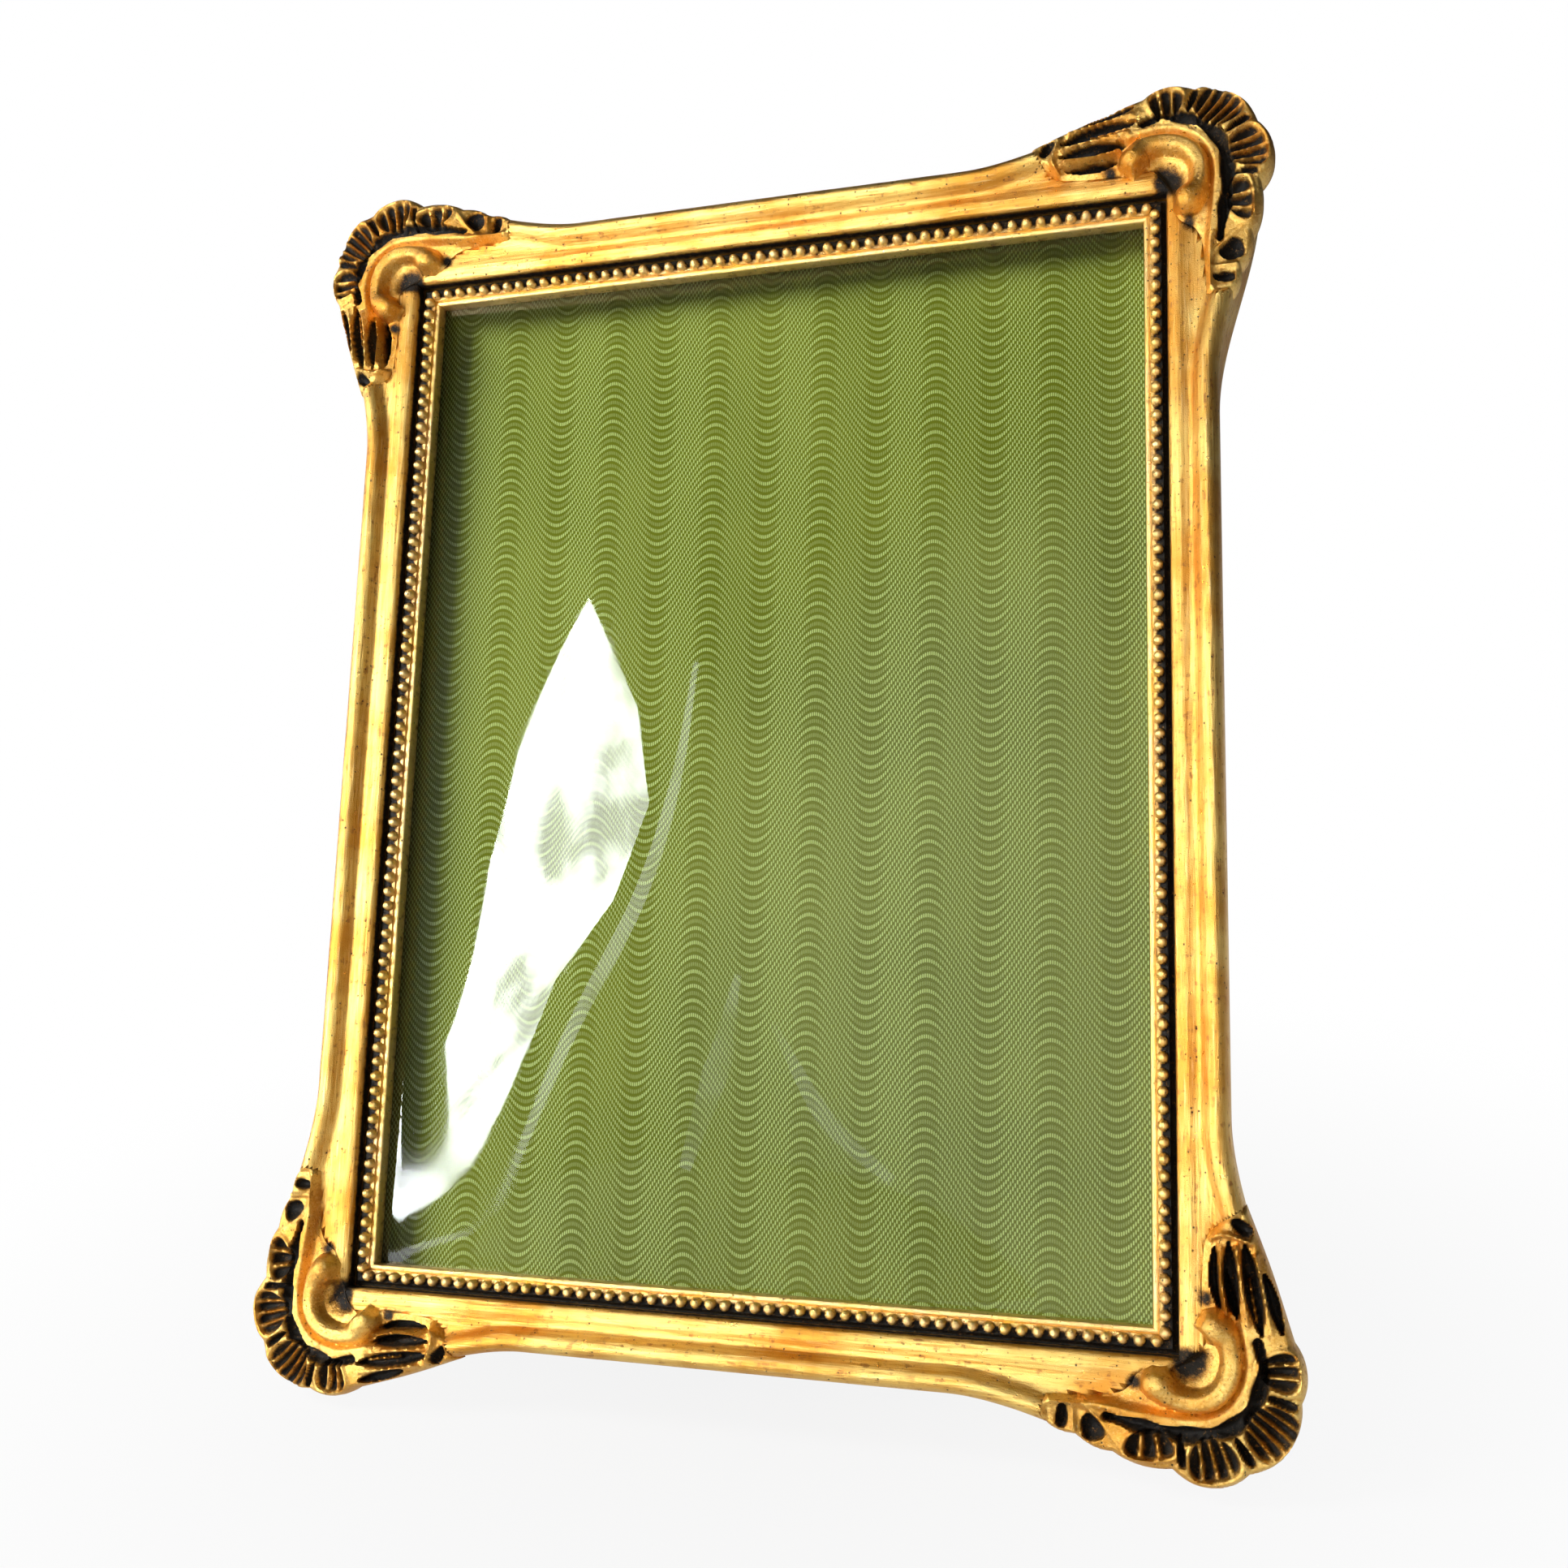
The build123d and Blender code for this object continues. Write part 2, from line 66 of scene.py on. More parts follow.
SLIP_DEPTH = 3.0  # the slip's flange reaches this far behind the sight edge
slip_low = {side: node_points(f"beaded_slip_{side}").min(0) for side in ("top", "right")}
slip_high = {side: node_points(f"beaded_slip_{side}").max(0) for side in ("bottom", "left")}
centre = np.array((
    (slip_low["right"][0] + slip_high["left"][0]) / 2,
    (slip_low["top"][1] + slip_high["bottom"][1]) / 2,
    slip_low["top"][2] + SLIP_DEPTH,
))
sight_half_x = slip_low["right"][0] - centre[0]
sight_half_y = slip_low["top"][1] - centre[1]
rail_low = node_points("rail_top").min(0) - centre
rail_high = node_points("rail_top").max(0) - centre
corner_out = rail_high[1] - sight_half_y  # from the sight edge to the outer edge at a corner
back_z = rail_low[2]
glass_high = node_points("domed_glass").max(0) - centre
sides = {"top": 0, "left": 1, "bottom": 2, "right": 3}  # quarter turns from the top rail
corners = {"top_right": 0, "top_left": 1, "bottom_left": 2, "bottom_right": 3}


def to_row(points):
    """Points in the frame's axes, in mm, as points in the row frame, in metres."""
    return (np.asarray(points) + centre) @ axes * MM


def quarter_turns(points, turns):
    """Points turned about the frame's middle, towards the left."""
    turned = np.array(points, float)
    for _ in range(turns):
        turned = np.column_stack((-turned[:, 1], turned[:, 0], turned[:, 2:]))
    return turned


def side_halves(turns):
    """Half the sight length of a side, and how far the side lies from the middle."""
    return (sight_half_y, sight_half_x) if turns % 2 else (sight_half_x, sight_half_y)


def smoothstep(low, high, value):
    t = np.clip((value - low) / (high - low), 0, 1)
    return t * t * (3 - 2 * t)


def smooth_line(points, count):
    """A Catmull-Rom curve through points, evenly spaced."""
    points = np.asarray(points, float)
    padded = np.vstack((2 * points[0] - points[1], points, 2 * points[-1] - points[-2]))
    t = np.linspace(0, 1, 24, endpoint=False)[:, None]
    pieces = []
    for a, b, c, d in zip(padded, padded[1:], padded[2:], padded[3:]):
        pieces.append(b + t * ((c - a) + t * (2 * a - 5 * b + 4 * c - d + t * (3 * b - a - 3 * c + d))) / 2)
    fine = np.vstack(pieces + [points[-1:]])
    steps = np.concatenate(([0], np.cumsum(np.linalg.norm(np.diff(fine, axis=0), axis=1))))
    wanted = np.linspace(0, steps[-1], count)
    return np.column_stack([np.interp(wanted, steps, column) for column in fine.T])


def ripple(points, size, seed):
    """Smooth noise at points, between about -1 and 1."""
    scaled = np.asarray(points) / size + seed
    return np.array([noise.noise(Vector(p)) for p in scaled])


# ---- making pieces ----
def make_piece(name, points, faces, slot, replaces, sharp=35.0, **attributes):
    """A smooth piece from points in the frame's axes, standing for CAD nodes, with values per point."""
    mesh = bpy.data.meshes.new(name)
    mesh.from_pydata(to_row(points).tolist(), [], faces)
    for label, values in attributes.items():
        values = np.asarray(values, np.float32)
        kind, field = ("FLOAT_VECTOR", "vector") if values.ndim == 2 else ("FLOAT", "value")
        mesh.attributes.new(label, kind, "POINT").data.foreach_set(field, values.ravel())
    mesh.shade_smooth()
    mesh.set_sharp_from_angle(angle=math.radians(sharp))
    mesh.validate()
    piece = bpy.data.objects.new(name, mesh)
    bpy.context.scene.collection.objects.link(piece)
    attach(piece, "frame")
    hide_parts(*replaces)
    return piece


def grid_faces(rows, columns, closed):
    """Quads over rows of points; closed joins the last column to the first."""
    faces = []
    for row in range(rows - 1):
        for column in range(columns if closed else columns - 1):
            following = (column + 1) % columns
            start = row * columns
            above = start + columns
            faces.append((start + column, start + following, above + following, above + column))
    return faces


# ---- rails ----
RAIL_WIDTH = 15.4
CORNER_ROUND = 13.0
FLARE_START = -40.5  # along the rail from the sight corner, where the outer edge starts to swing out
FLARE_LENGTH = 50.0
MITRE_GAP = 0.02
BACK_SHORT = 0.03  # the back stops this far short, so that the nails' heads show
rebate_out = 8.2  # from the sight edge to the wall of the rebate at the back
swing_out = corner_out - RAIL_WIDTH
CASTING_REACH = -32.0  # along the rail from the sight corner, past the tip of the casting's leaf
# where the rail gets a spot of painted shade under the casting's eye
CORNER_HOLE = (5.2, 6.4)
CORNER_HOLE_RADIUS = 2.8
SETTLING_ROUNDS = 40

# the rail's face: out from the sight edge, height, share of the outer edge's swing that it follows
face_line = smooth_line(
    [
        (5.0, 0.6, 0), (5.02, 1.9, 0), (5.3, 2.75, 0), (6.2, 3.35, 0), (7.3, 3.7, 0.03), (8.4, 3.45, 0.15),
        (9.3, 3.3, 0.5), (9.9, 3.6, 0.85), (10.6, 4.6, 1), (11.4, 5.7, 1), (12.6, 6.45, 1), (13.8, 6.15, 1),
        (14.7, 5.2, 1), (15.2, 4.0, 1), (15.4, 2.6, 1),
    ],
    52,
)
outer_wall = [(15.4, height, 1) for height in (0.5, -3.0, -7.0, -11.0, -14.0)]
back_places = ((15.1, 1), (13.0, 0.8), (10.5, 0.3), (rebate_out, 0))
back_line = [(out, back_z + BACK_SHORT, share) for out, share in back_places]
inside_line = [(rebate_out, -8.0, 0), (rebate_out, -1.0, 0), (5.0, -1.0, 0)]
rail_line = np.vstack((face_line, outer_wall, back_line, inside_line))


def flare(along):
    """How far the outer edge has swung out."""
    return swing_out * smoothstep(FLARE_START, FLARE_START + FLARE_LENGTH, along)


def outer_edge(along):
    """The rail's outer edge, out from the sight edge, rounded at the corner."""
    straight = RAIL_WIDTH + flare(along)
    start = corner_out - CORNER_ROUND
    past = np.clip(along - start, 0, CORNER_ROUND)
    return np.where(along > start, np.minimum(straight, start + np.sqrt(CORNER_ROUND**2 - past**2)), straight)


def face_height(along, out):
    """Height of the rails' face at a place by its distances from the sight corner."""
    swing = outer_edge(along) - RAIL_WIDTH
    outs = face_line[:, 0] + face_line[:, 2] * swing[:, None]
    after = np.clip((outs <= out[:, None]).sum(1), 1, len(face_line) - 1)
    rows = np.arange(len(out))
    low, high = outs[rows, after - 1], outs[rows, after]
    share = np.clip((out - low) / np.maximum(high - low, 1e-6), 0, 1)
    return face_line[after - 1, 1] * (1 - share) + face_line[after, 1] * share


# ---- corner ornament: distances from the sight corner, leaf to the left, small lobes below ----
def arc(start, end, bulge, count=14):
    """Points of an arc from start towards end that bulges to the left of that direction."""
    start, end = np.array(start, float), np.array(end, float)
    half = np.linalg.norm(end - start) / 2
    ahead = (end - start) / (2 * half)
    left = np.array((-ahead[1], ahead[0]))
    radius = (half**2 + bulge**2) / (2 * abs(bulge))
    turns = np.linspace(-1, 1, count, endpoint=False)[:, None] * math.asin(min(1.0, half / radius))
    middle = (start + end) / 2
    rise = radius * np.cos(turns) - (radius - abs(bulge))
    return middle + ahead * radius * np.sin(turns) + left * rise * math.copysign(1, bulge)


def ornament_outline():
    """The casting's outline: smooth along the rail, scalloped outside."""
    inner = smooth_line([(-24.6, 18.2), (-19.0, 11.0), (-11, 9.6), (-4.6, 9.4), (-1.8, 7.9)], 40)
    hollow = smooth_line([(-1.8, 7.9), (1.4, 10.2), (4.4, 7.0), (6.4, 2.4), (6.4, 0.0)], 24)
    below = smooth_line([(6.4, 0.0), (8.2, -2.8), (10.8, -4.4), (12.4, -7.5), (13.0, -13), (13.3, -20.4)], 46)
    tail = smooth_line([(13.3, -20.4), (16.0, -21.2), (18.9, -20.6)], 12)
    lobes = [
        ((18.9, -20.6), (20.6, -14.8), -0.6),
        ((20.6, -14.8), (23.2, -7.6), -0.8),
        ((23.2, -7.6), (25.2, 3.6), -1.0),
        ((25.2, 3.6), (24.8, 18), -3.0),
        ((24.8, 18), (11.4, 27.6), -3.0),
        ((11.4, 27.6), (0.6, 26.6), -1.6),
    ]
    scallops = [arc(start, end, bulge, 22) for start, end, bulge in lobes]
    top = smooth_line([(0.6, 26.6), (-12.5, 22.6), (-24.6, 18.2)], 60)
    return np.vstack([inner[:-1], hollow[:-1], below[:-1], tail[:-1]] + scallops + [top[:-1]])


def line_place(points, line):
    """Distance of each point to a line, and how far along the line its nearest place is, from 0 to 1."""
    best = np.full(len(points), 1e9)
    share = np.zeros(len(points))
    for number, (start, end) in enumerate(zip(line[:-1], line[1:])):
        step = end - start
        t = np.clip(((points - start) @ step) / max(step @ step, 1e-12), 0, 1)
        distance = np.linalg.norm(points - start - t[:, None] * step, axis=1)
        closer = distance < best
        best = np.where(closer, distance, best)
        share = np.where(closer, (number + t) / (len(line) - 1), share)
    return best, share


def inside_depth(points, outline):
    """How far inside a closed outline each point lies; negative outside it."""
    distance, _ = line_place(points, np.vstack((outline, outline[:1])))
    inside = np.zeros(len(points), bool)
    for (ax, ay), (bx, by) in zip(outline, np.roll(outline, -1, axis=0)):
        crosses = (ay > points[:, 1]) != (by > points[:, 1])
        reach = ax + (points[:, 1] - ay) * (bx - ax) / ((by - ay) or 1e-9)
        inside ^= crosses & (points[:, 0] < reach)
    return np.where(inside, distance, -distance)


fan_centre = np.array((3.5, 5.0))
scroll = smooth_line(
    [
        (-1.8, 11.6), (0.4, 14.2), (4.6, 14.9), (8.8, 13.7),
        (11.6, 10.8), (12.3, 7.0), (11.4, 3.4), (9.5, 1.0),
    ],
    44,
)
rim = smooth_line(
    [
        (-5.5, 16.2), (-1.0, 17.5), (5.0, 18.2), (10.4, 16.6), (14.1, 13.0),
        (15.6, 8.0), (15.4, 1.5), (14.6, -6), (13.9, -13), (13.9, -20.6),
    ],
    60,
)
# hollows of the shell and lobes: centre, half length, half width, direction in degrees, ribs
hollows = [
    ((5.4, 23.7), 3.5, 3.5, 93, 2), ((16.1, 21.6), 4.7, 4.9, 50, 4), ((22.2, 11.2), 4.0, 4.6, 14, 3),
    ((20.6, -0.6), 2.6, 4.6, 4, 2),
]
creases = [
    ((10.9, 24.0), 3.0, 0.85, 72, 0), ((20.3, 17.0), 3.1, 0.85, 34, 0), ((21.4, 5.4), 3.0, 0.8, 6, 0),
    ((18.6, -11.4), 2.7, 2.2, 18, 0), ((16.9, -17.3), 2.5, 1.15, -4, 0), ((-20.6, 17.2), 2.4, 1.3, 52, 0),
]
# flutes of the leaf, and the channel between the rim and the shell: line, half width, bluntness of the ends
flutes = [
    (((-16.6, 11.9), (-10, 11.8), (-5.0, 12.8)), 0.95, 0.6),
    (((-17.7, 14.6), (-10, 15.1), (-3.6, 16.0)), 1.45, 0.6),
    (((-17.4, 17.6), (-10, 18.9), (-1.2, 20.4)), 1.75, 0.6),
    (((-12.3, 21.1), (-7, 22.7), (-1.6, 24.2)), 1.2, 0.6),
    (
        ((0.4, 19.7), (5.2, 20.7), (11.5, 19.0), (16.2, 14.6), (18.0, 8.4), (17.8, 1.5), (16.2, -8.6)),
        1.45, 0.2,
    ),
]
# raised ribs between the flutes and lobes: line, half width, height of the top
ridges = [
    (((13.6, -13.6), (17.5, -9.4), (22.4, -5.6)), 0.62, 6.2),
    (((13.8, -15.2), (17.4, -15.0), (20.8, -14.8)), 0.55, 5.8),
    (((13.8, -19.6), (16.6, -19.8), (18.9, -19.2)), 0.8, 5.2),
    (((-18.5, 11.2), (-19.3, 14.0), (-18.0, 18.6)), 0.6, 7.0),
    (((-16.6, 13.2), (-10, 13.3), (-4.6, 14.2)), 0.45, 7.0),
    (((-17.2, 16.1), (-10, 16.9), (-3, 18.0)), 0.45, 7.2),
    (((-15.6, 19.7), (-9, 20.9), (-2, 22.2)), 0.45, 7.0),
    (((-11.0, 18.4), (-7.0, 19.0), (-3.4, 19.7)), 0.34, 5.6),
]
shade_spots = ((9.8, -3.4), (-6.8, 10.2))  # middles of the spots of painted shade
SHADE_SPOT_RADIUS = 1.6
SHELL_HEIGHT = 6.5
SHELF_HEIGHT = 4.0
HOLE_PLACE = (5.2, 7.0)  # the eye inside the scroll, sunk and darkened with painted shade
HOLE_RADIUS = 4.0
HOLE_FLOOR = 2.2
HOLLOW_DEPTH = 3.0
CREASE_DEPTH = 2.3
RIB_SHARE = 0.72  # how far the ribs rise out of a hollow
LIP_HEIGHT = 0.6  # of the raised lip round a hollow
FLUTE_DEPTH = 2.6
CHANNEL_WAVES = 30.0
RIM_HALF_WIDTH = 0.95
RIM_TOP = 6.6
SCROLL_RADIUS = 2.3
BULB_SWELL = 1.15  # how much wider the scroll is at its ends
SCROLL_FOOT = 2.6
SCROLL_TOP = 7.9
BULB_TOP = 8.8


def hollow_measures(points, centre_point, half_length, half_width, direction):
    """Scaled distance from a hollow's centre, and the place across it."""
    turn = math.radians(direction)
    along = (points - centre_point) @ (math.cos(turn), math.sin(turn)) / half_length
    across = (points - centre_point) @ (-math.sin(turn), math.cos(turn)) / half_width
    across = across / (1 + 0.22 * np.clip(along, -1, 1))
    return (np.abs(along) ** 2.5 + np.abs(across) ** 2.5) ** 0.4, across


def shade_spot_share(points):
    """Painted shade: dark spots in the corners beside the bulbs and at the root of the small lobes."""
    distances = [np.hypot(points[:, 0] - x, points[:, 1] - y) for x, y in shade_spots]
    return sum(np.exp(-((distance / SHADE_SPOT_RADIUS) ** 2)) for distance in distances)


def ornament_height(points):
    """Height of the casting's face, and how dark its painted shade lies, at points inside its outline."""
    reach = np.linalg.norm(points - fan_centre, axis=1)
    from_rim, rim_share = line_place(points, rim)
    step = rim[1:] - rim[:-1]
    nearest = np.clip((rim_share * (len(rim) - 1)).astype(int), 0, len(step) - 1)
    offset = points - rim[nearest]
    outer = smoothstep(-0.3, 0.3, step[nearest, 0] * offset[:, 1] - step[nearest, 1] * offset[:, 0])
    shell_top = SHELL_HEIGHT - 0.9 * smoothstep(17, 25, reach) - 0.7 * smoothstep(-4, -12, points[:, 1])
    height = SHELF_HEIGHT + (shell_top - SHELF_HEIGHT) * outer
    hole = np.exp(-((np.linalg.norm(points - HOLE_PLACE, axis=1) / HOLE_RADIUS) ** 4))
    height = height - (SHELF_HEIGHT - HOLE_FLOOR) * hole
    # Painted shade: the eye, the spots beside the bulbs, the hollows and the flutes are marked dark, and the
    # ribs, rim and scroll are kept clear of it.
    dark = np.maximum(hole, shade_spot_share(points))
    for centre_point, half_length, half_width, direction, ribs in hollows + creases:
        scaled, across = hollow_measures(points, centre_point, half_length, half_width, direction)
        bowl = np.clip(1 - scaled**2, 0, 1) ** 0.55
        strip = (across + 1) / 2 * (ribs + 1)
        number = np.round(strip)
        rib = np.exp(-(((strip - number) / 0.20) ** 2)) * (number >= 1) * (number <= ribs)
        height = height - (HOLLOW_DEPTH if ribs else CREASE_DEPTH) * bowl * (1 - RIB_SHARE * rib)
        if ribs:
            height = height + LIP_HEIGHT * np.exp(-(((scaled - 1.1) / 0.15) ** 2))
        dark = np.maximum(dark, np.clip(2.2 * bowl, 0, 1) * (1 - 0.95 * rib))
    for line, half_width, bluntness in flutes:
        distance, share = line_place(points, smooth_line(line, 24))
        width = half_width * np.sin(math.pi * np.clip(share, 0.02, 0.98)) ** bluntness
        width = width * (1 + 0.22 * np.cos(share * CHANNEL_WAVES)) if len(line) > 3 else width
        groove = np.clip(1 - (distance / width) ** 2, 0, 1) ** 0.6
        height = height - FLUTE_DEPTH * groove
        dark = np.maximum(dark, np.clip(1.7 * groove, 0, 1))
    for line, half_width, top in ridges:
        distance, share = line_place(points, smooth_line(line, 14))
        crest = np.exp(-((distance / half_width) ** 2))
        height = height * (1 - crest) + np.maximum(height, top) * crest
        dark = dark * (1 - smoothstep(0.35, 0.8, crest))
    crest = np.exp(-((from_rim / RIM_HALF_WIDTH) ** 2)) * smoothstep(0, 0.06, rim_share)
    height = height * (1 - crest) + np.maximum(height, RIM_TOP) * crest
    dark = dark * (1 - smoothstep(0.35, 0.8, crest))
    distance, share = line_place(points, scroll)
    swell = np.exp(-((share / 0.13) ** 2)) + np.exp(-(((1 - share) / 0.12) ** 2))
    radius = SCROLL_RADIUS + BULB_SWELL * swell
    top = SCROLL_TOP + (BULB_TOP - SCROLL_TOP) * swell
    inside = np.clip(1 - (distance / radius) ** 2, 0, 1)
    dip = 0.5 * (1 - swell) * np.exp(-((distance / 0.9) ** 2))  # a shallow groove along the scroll
    round_top = SCROLL_FOOT + (top - SCROLL_FOOT) * inside**0.45 - dip
    height = np.where(inside > 0, np.maximum(height, round_top), height)
    dark = np.where(inside > 0, dark * (1 - smoothstep(0.0, 0.35, inside)), dark)
    return height, dark


def fill_outline(points, count):
    """Triangles over points whose first count make a closed outline."""
    made = geometry.delaunay_2d_cdt([Vector(p) for p in points], [], [list(range(count))], 1, 1e-6)
    triangles, origins = made[2], made[3]
    return [tuple(origins[i][0] for i in triangle) for triangle in triangles]


ORNAMENT_GRID = 0.31
CASTING_FOOT = 0.05  # height of the casting's flat underside
# painted shade along the casting's foot edge, where it meets the rail
EDGE_SHADE = 0.4
ornament_edge = ornament_outline()


def make_ornament():
    """Points and faces of the casting at the top right sight corner, with its painted shade."""
    low, high = ornament_edge.min(0), ornament_edge.max(0)
    across = np.arange(low[0], high[0], ORNAMENT_GRID)
    upward = np.arange(low[1], high[1], ORNAMENT_GRID)
    grid = np.stack(np.meshgrid(across, upward), -1).reshape(-1, 2)
    grid = grid[inside_depth(grid, ornament_edge) > 0.6 * ORNAMENT_GRID]
    count = len(ornament_edge)
    plan = np.vstack((ornament_edge, grid))
    height, dark = ornament_height(plan)
    depth = np.clip(inside_depth(plan, ornament_edge), 0, None)
    along, out = plan.min(1), plan.max(1)
    seat = face_height(along, out)
    beyond = smoothstep(-0.8, 0.2, out - outer_edge(along))
    lift = (seat + 0.12) * (1 - beyond) + 2.0 * beyond  # height of the casting's edge, on the rail and past it
    round_edge = np.sqrt(1 - (1 - np.clip(depth / 1.4, 0, 1)) ** 2)
    blend = smoothstep(0.0, 1.1, depth) * (1 - beyond) + round_edge * beyond
    height = lift * (1 - blend) + height * blend
    points = np.column_stack((plan, height))
    points[:, 2] += 0.10 * ripple(points, 2.3, 5.1) + 0.05 * ripple(points, 0.9, 9.7)
    lower = np.column_stack((ornament_edge, np.full(count, CASTING_FOOT)))
    total = len(points)
    faces = fill_outline(plan, count)
    faces += [tuple(total + i for i in reversed(face)) for face in fill_outline(ornament_edge, count)]
    for here in range(count):
        following = (here + 1) % count
        faces.append((following, here, total + here, total + following))
    return np.vstack((points, lower)), faces, np.concatenate((dark, np.full(count, EDGE_SHADE)))


def make_rail(side, turns):
    """A rail swept between its mitres, sunk under the castings at its ends, with small dents."""
    half_length, distance = side_halves(turns)
    stations = np.linspace(-1, 1, int(half_length * 2.7))[:, None]
    outs = np.tile(rail_line[:, 0], (len(stations), 1))
    # the outer edge depends on the place along the rail, which depends on the mitre
    for _ in range(SETTLING_ROUNDS):
        along = np.abs(stations) * (half_length + outs) - half_length
        outs = (outs + rail_line[:, 0] + rail_line[:, 2] * (outer_edge(along) - RAIL_WIDTH)) / 2
    along = np.abs(stations) * (half_length + outs - MITRE_GAP) - half_length
    height = np.tile(rail_line[:, 1], (len(stations), 1))
    x = np.sign(stations) * (half_length + along)
    is_face = (np.arange(len(rail_line)) < len(face_line)) & (rail_line[:, 1] > 1.5)
    flat = np.column_stack((x.ravel(), outs.ravel(), height.ravel()))
    long_dents = ripple(flat / (16, 2.6, 2.6), 1.0, turns + 3.3)
    short_dents = ripple(flat / (4.0, 1.2, 1.2), 1.0, turns + 8.8)
    dents = 0.10 * long_dents + 0.06 * short_dents
    flat[:, 2] += np.where(np.tile(is_face, len(stations)), dents, 0)
    # the casting's seat at either end: the leaf is at the rail's right end, the small lobes at its left
    at_leaf = flat[:, :1] > 0
    leaf_place = np.column_stack((along.ravel(), outs.ravel()))
    place = np.where(at_leaf, leaf_place, leaf_place[:, ::-1])
    depth = np.full(len(place), -9.0)
    close = along.ravel() > CASTING_REACH
    depth[close] = inside_depth(place[close], ornament_edge)
    sunk = smoothstep(0.3, 1.0, depth)
    flat[:, 2] = np.where(flat[:, 2] > -0.1, flat[:, 2] * (1 - sunk) - 0.1 * sunk, flat[:, 2])
    # Painted shade: the low inner edge of the face beside the slip, a ring round each casting's edge, a spot
    # under the casting's eye and the spots beside its bulbs are marked dark.
    groove = (1 - smoothstep(0.9, 2.5, flat[:, 2])) * (flat[:, 1] < rebate_out)
    ring = np.exp(-((np.clip(-depth, 0, 9) / 0.55) ** 2)) * close
    corner_hole = np.exp(-((np.linalg.norm(place - CORNER_HOLE, axis=1) / CORNER_HOLE_RADIUS) ** 4)) * close
    spot_shade = shade_spot_share(place) * close
    dark = np.clip(groove + 0.22 * ring + corner_hole + spot_shade, 0, 1) * (flat[:, 2] > -0.5)
    columns = len(rail_line)
    faces = grid_faces(len(stations), columns, True)
    faces.append(tuple(reversed(range(columns))))
    faces.append(tuple(range(len(flat) - columns, len(flat))))
    run = flat.copy()
    flat[:, 1] += distance
    turned = quarter_turns(flat, turns)
    # the back edge of the lowest corners rests on the table
    table = (-turned[:, 1] * up[2] - turned[:, 2] * forward[2]) - (centre @ axes)[2]
    turned[:, 1] += np.clip(table, 0, None) / up[2]
    return make_piece(f"gilt_rail_{side}", turned, faces, "gilt_rail", [f"rail_{side}"], run=run, patina=dark)


# ---- beaded slips ----
BEAD_RADIUS = 1.15
BEAD_OUT = 2.45
BEAD_HEIGHT = 1.2
BEAD_PITCH = 3.31
STRIP_TOP = 0.45
slip_line = np.array(
    [(0, -3.0), (0, -0.5), (0.08, -0.16), (0.3, 0.03), (0.7, 0.1), (1.05, 0.04), (1.2, -0.12)]
    + [(1.27, STRIP_TOP - 0.15)]
    + [(BEAD_OUT - BEAD_RADIUS * math.cos(math.pi * step / 12), STRIP_TOP) for step in range(13)]
    + [(3.75, STRIP_TOP), (4.0, 0.1), (4.3, -0.7), (4.8, -1.02), (8.15, -1.05), (8.15, -3.0)]
)
MITRE_SHEAR = 9.0  # the sections lean over to the mitre within this length


def make_slip(side, turns):
    """A slip with a round lip and a row of slightly uneven beads."""
    half_length, distance = side_halves(turns)
    reach = half_length + BEAD_OUT
    count = round(2 * reach / BEAD_PITCH)
    pitch = 2 * reach / count
    chance = random.Random(40 + turns)
    beads = [
        (-reach + pitch * (number + 0.5) + chance.uniform(-0.07, 0.07), chance.uniform(-0.05, 0.05),
         BEAD_RADIUS * chance.uniform(0.93, 1.03), BEAD_HEIGHT + chance.uniform(-0.1, 0.06))
        for number in range(count)
    ]
    stations = np.linspace(-reach, reach, 11 * count + 1)[:, None]
    lean = smoothstep(reach - MITRE_SHEAR, reach, np.abs(stations)) * np.sign(stations)
    outs = np.tile(slip_line[:, 0], (len(stations), 1))
    x = stations + lean * (outs - BEAD_OUT) - np.sign(stations) * MITRE_GAP
    height = np.tile(slip_line[:, 1], (len(stations), 1))
    number = np.clip(((x + reach) / pitch).astype(int), 0, count - 1)
    beads = np.array(beads)[number]
    square = beads[..., 2] ** 2 - (x - beads[..., 0]) ** 2 - (outs - BEAD_OUT - beads[..., 1]) ** 2
    bead_top = beads[..., 3] + np.sqrt(np.clip(square, 0, None))
    height = np.where(square > 0, np.maximum(height, bead_top), height)
    flat = np.column_stack((x.ravel(), outs.ravel(), height.ravel()))
    # Painted shade: the low places between the beads and the slope down towards the rail are marked dark; the
    # lip stays clear.
    on_lip = (flat[:, 1] < 1.22) & (flat[:, 2] > -0.55)
    outward = 0.35 + 0.65 * smoothstep(BEAD_OUT - 0.8, BEAD_OUT + 0.2, flat[:, 1])
    dark = np.where(on_lip, 0.0, (1 - smoothstep(0.75, 1.5, flat[:, 2])) * outward)
    columns = len(slip_line)
    faces = grid_faces(len(stations), columns, True)
    faces.append(tuple(reversed(range(columns))))
    faces.append(tuple(range(len(flat) - columns, len(flat))))
    run = flat.copy()
    flat[:, 1] += distance
    turned = quarter_turns(flat, turns)
    return make_piece(
        f"beaded_strip_{side}", turned, faces, "gilt_slip", [f"beaded_slip_{side}"],
        sharp=50.0, run=run, patina=dark,
    )


# ---- glass ----
GLASS_FRONT = -SLIP_DEPTH - 0.05
GLASS_THICKNESS = 2.0
DOME_POWER = 2.4
dome_half = np.array((sight_half_x - 1.0, sight_half_y - 1.0))
dome_rise = glass_high[2] - GLASS_FRONT


def dome_height(x, y):
    """Height of the glass's outer face."""
    fall_x = np.clip(np.abs(x) / dome_half[0], 0, 1) ** DOME_POWER
    fall_y = np.clip(np.abs(y) / dome_half[1], 0, 1) ** DOME_POWER
    return GLASS_FRONT + dome_rise * (1 - fall_x) * (1 - fall_y)


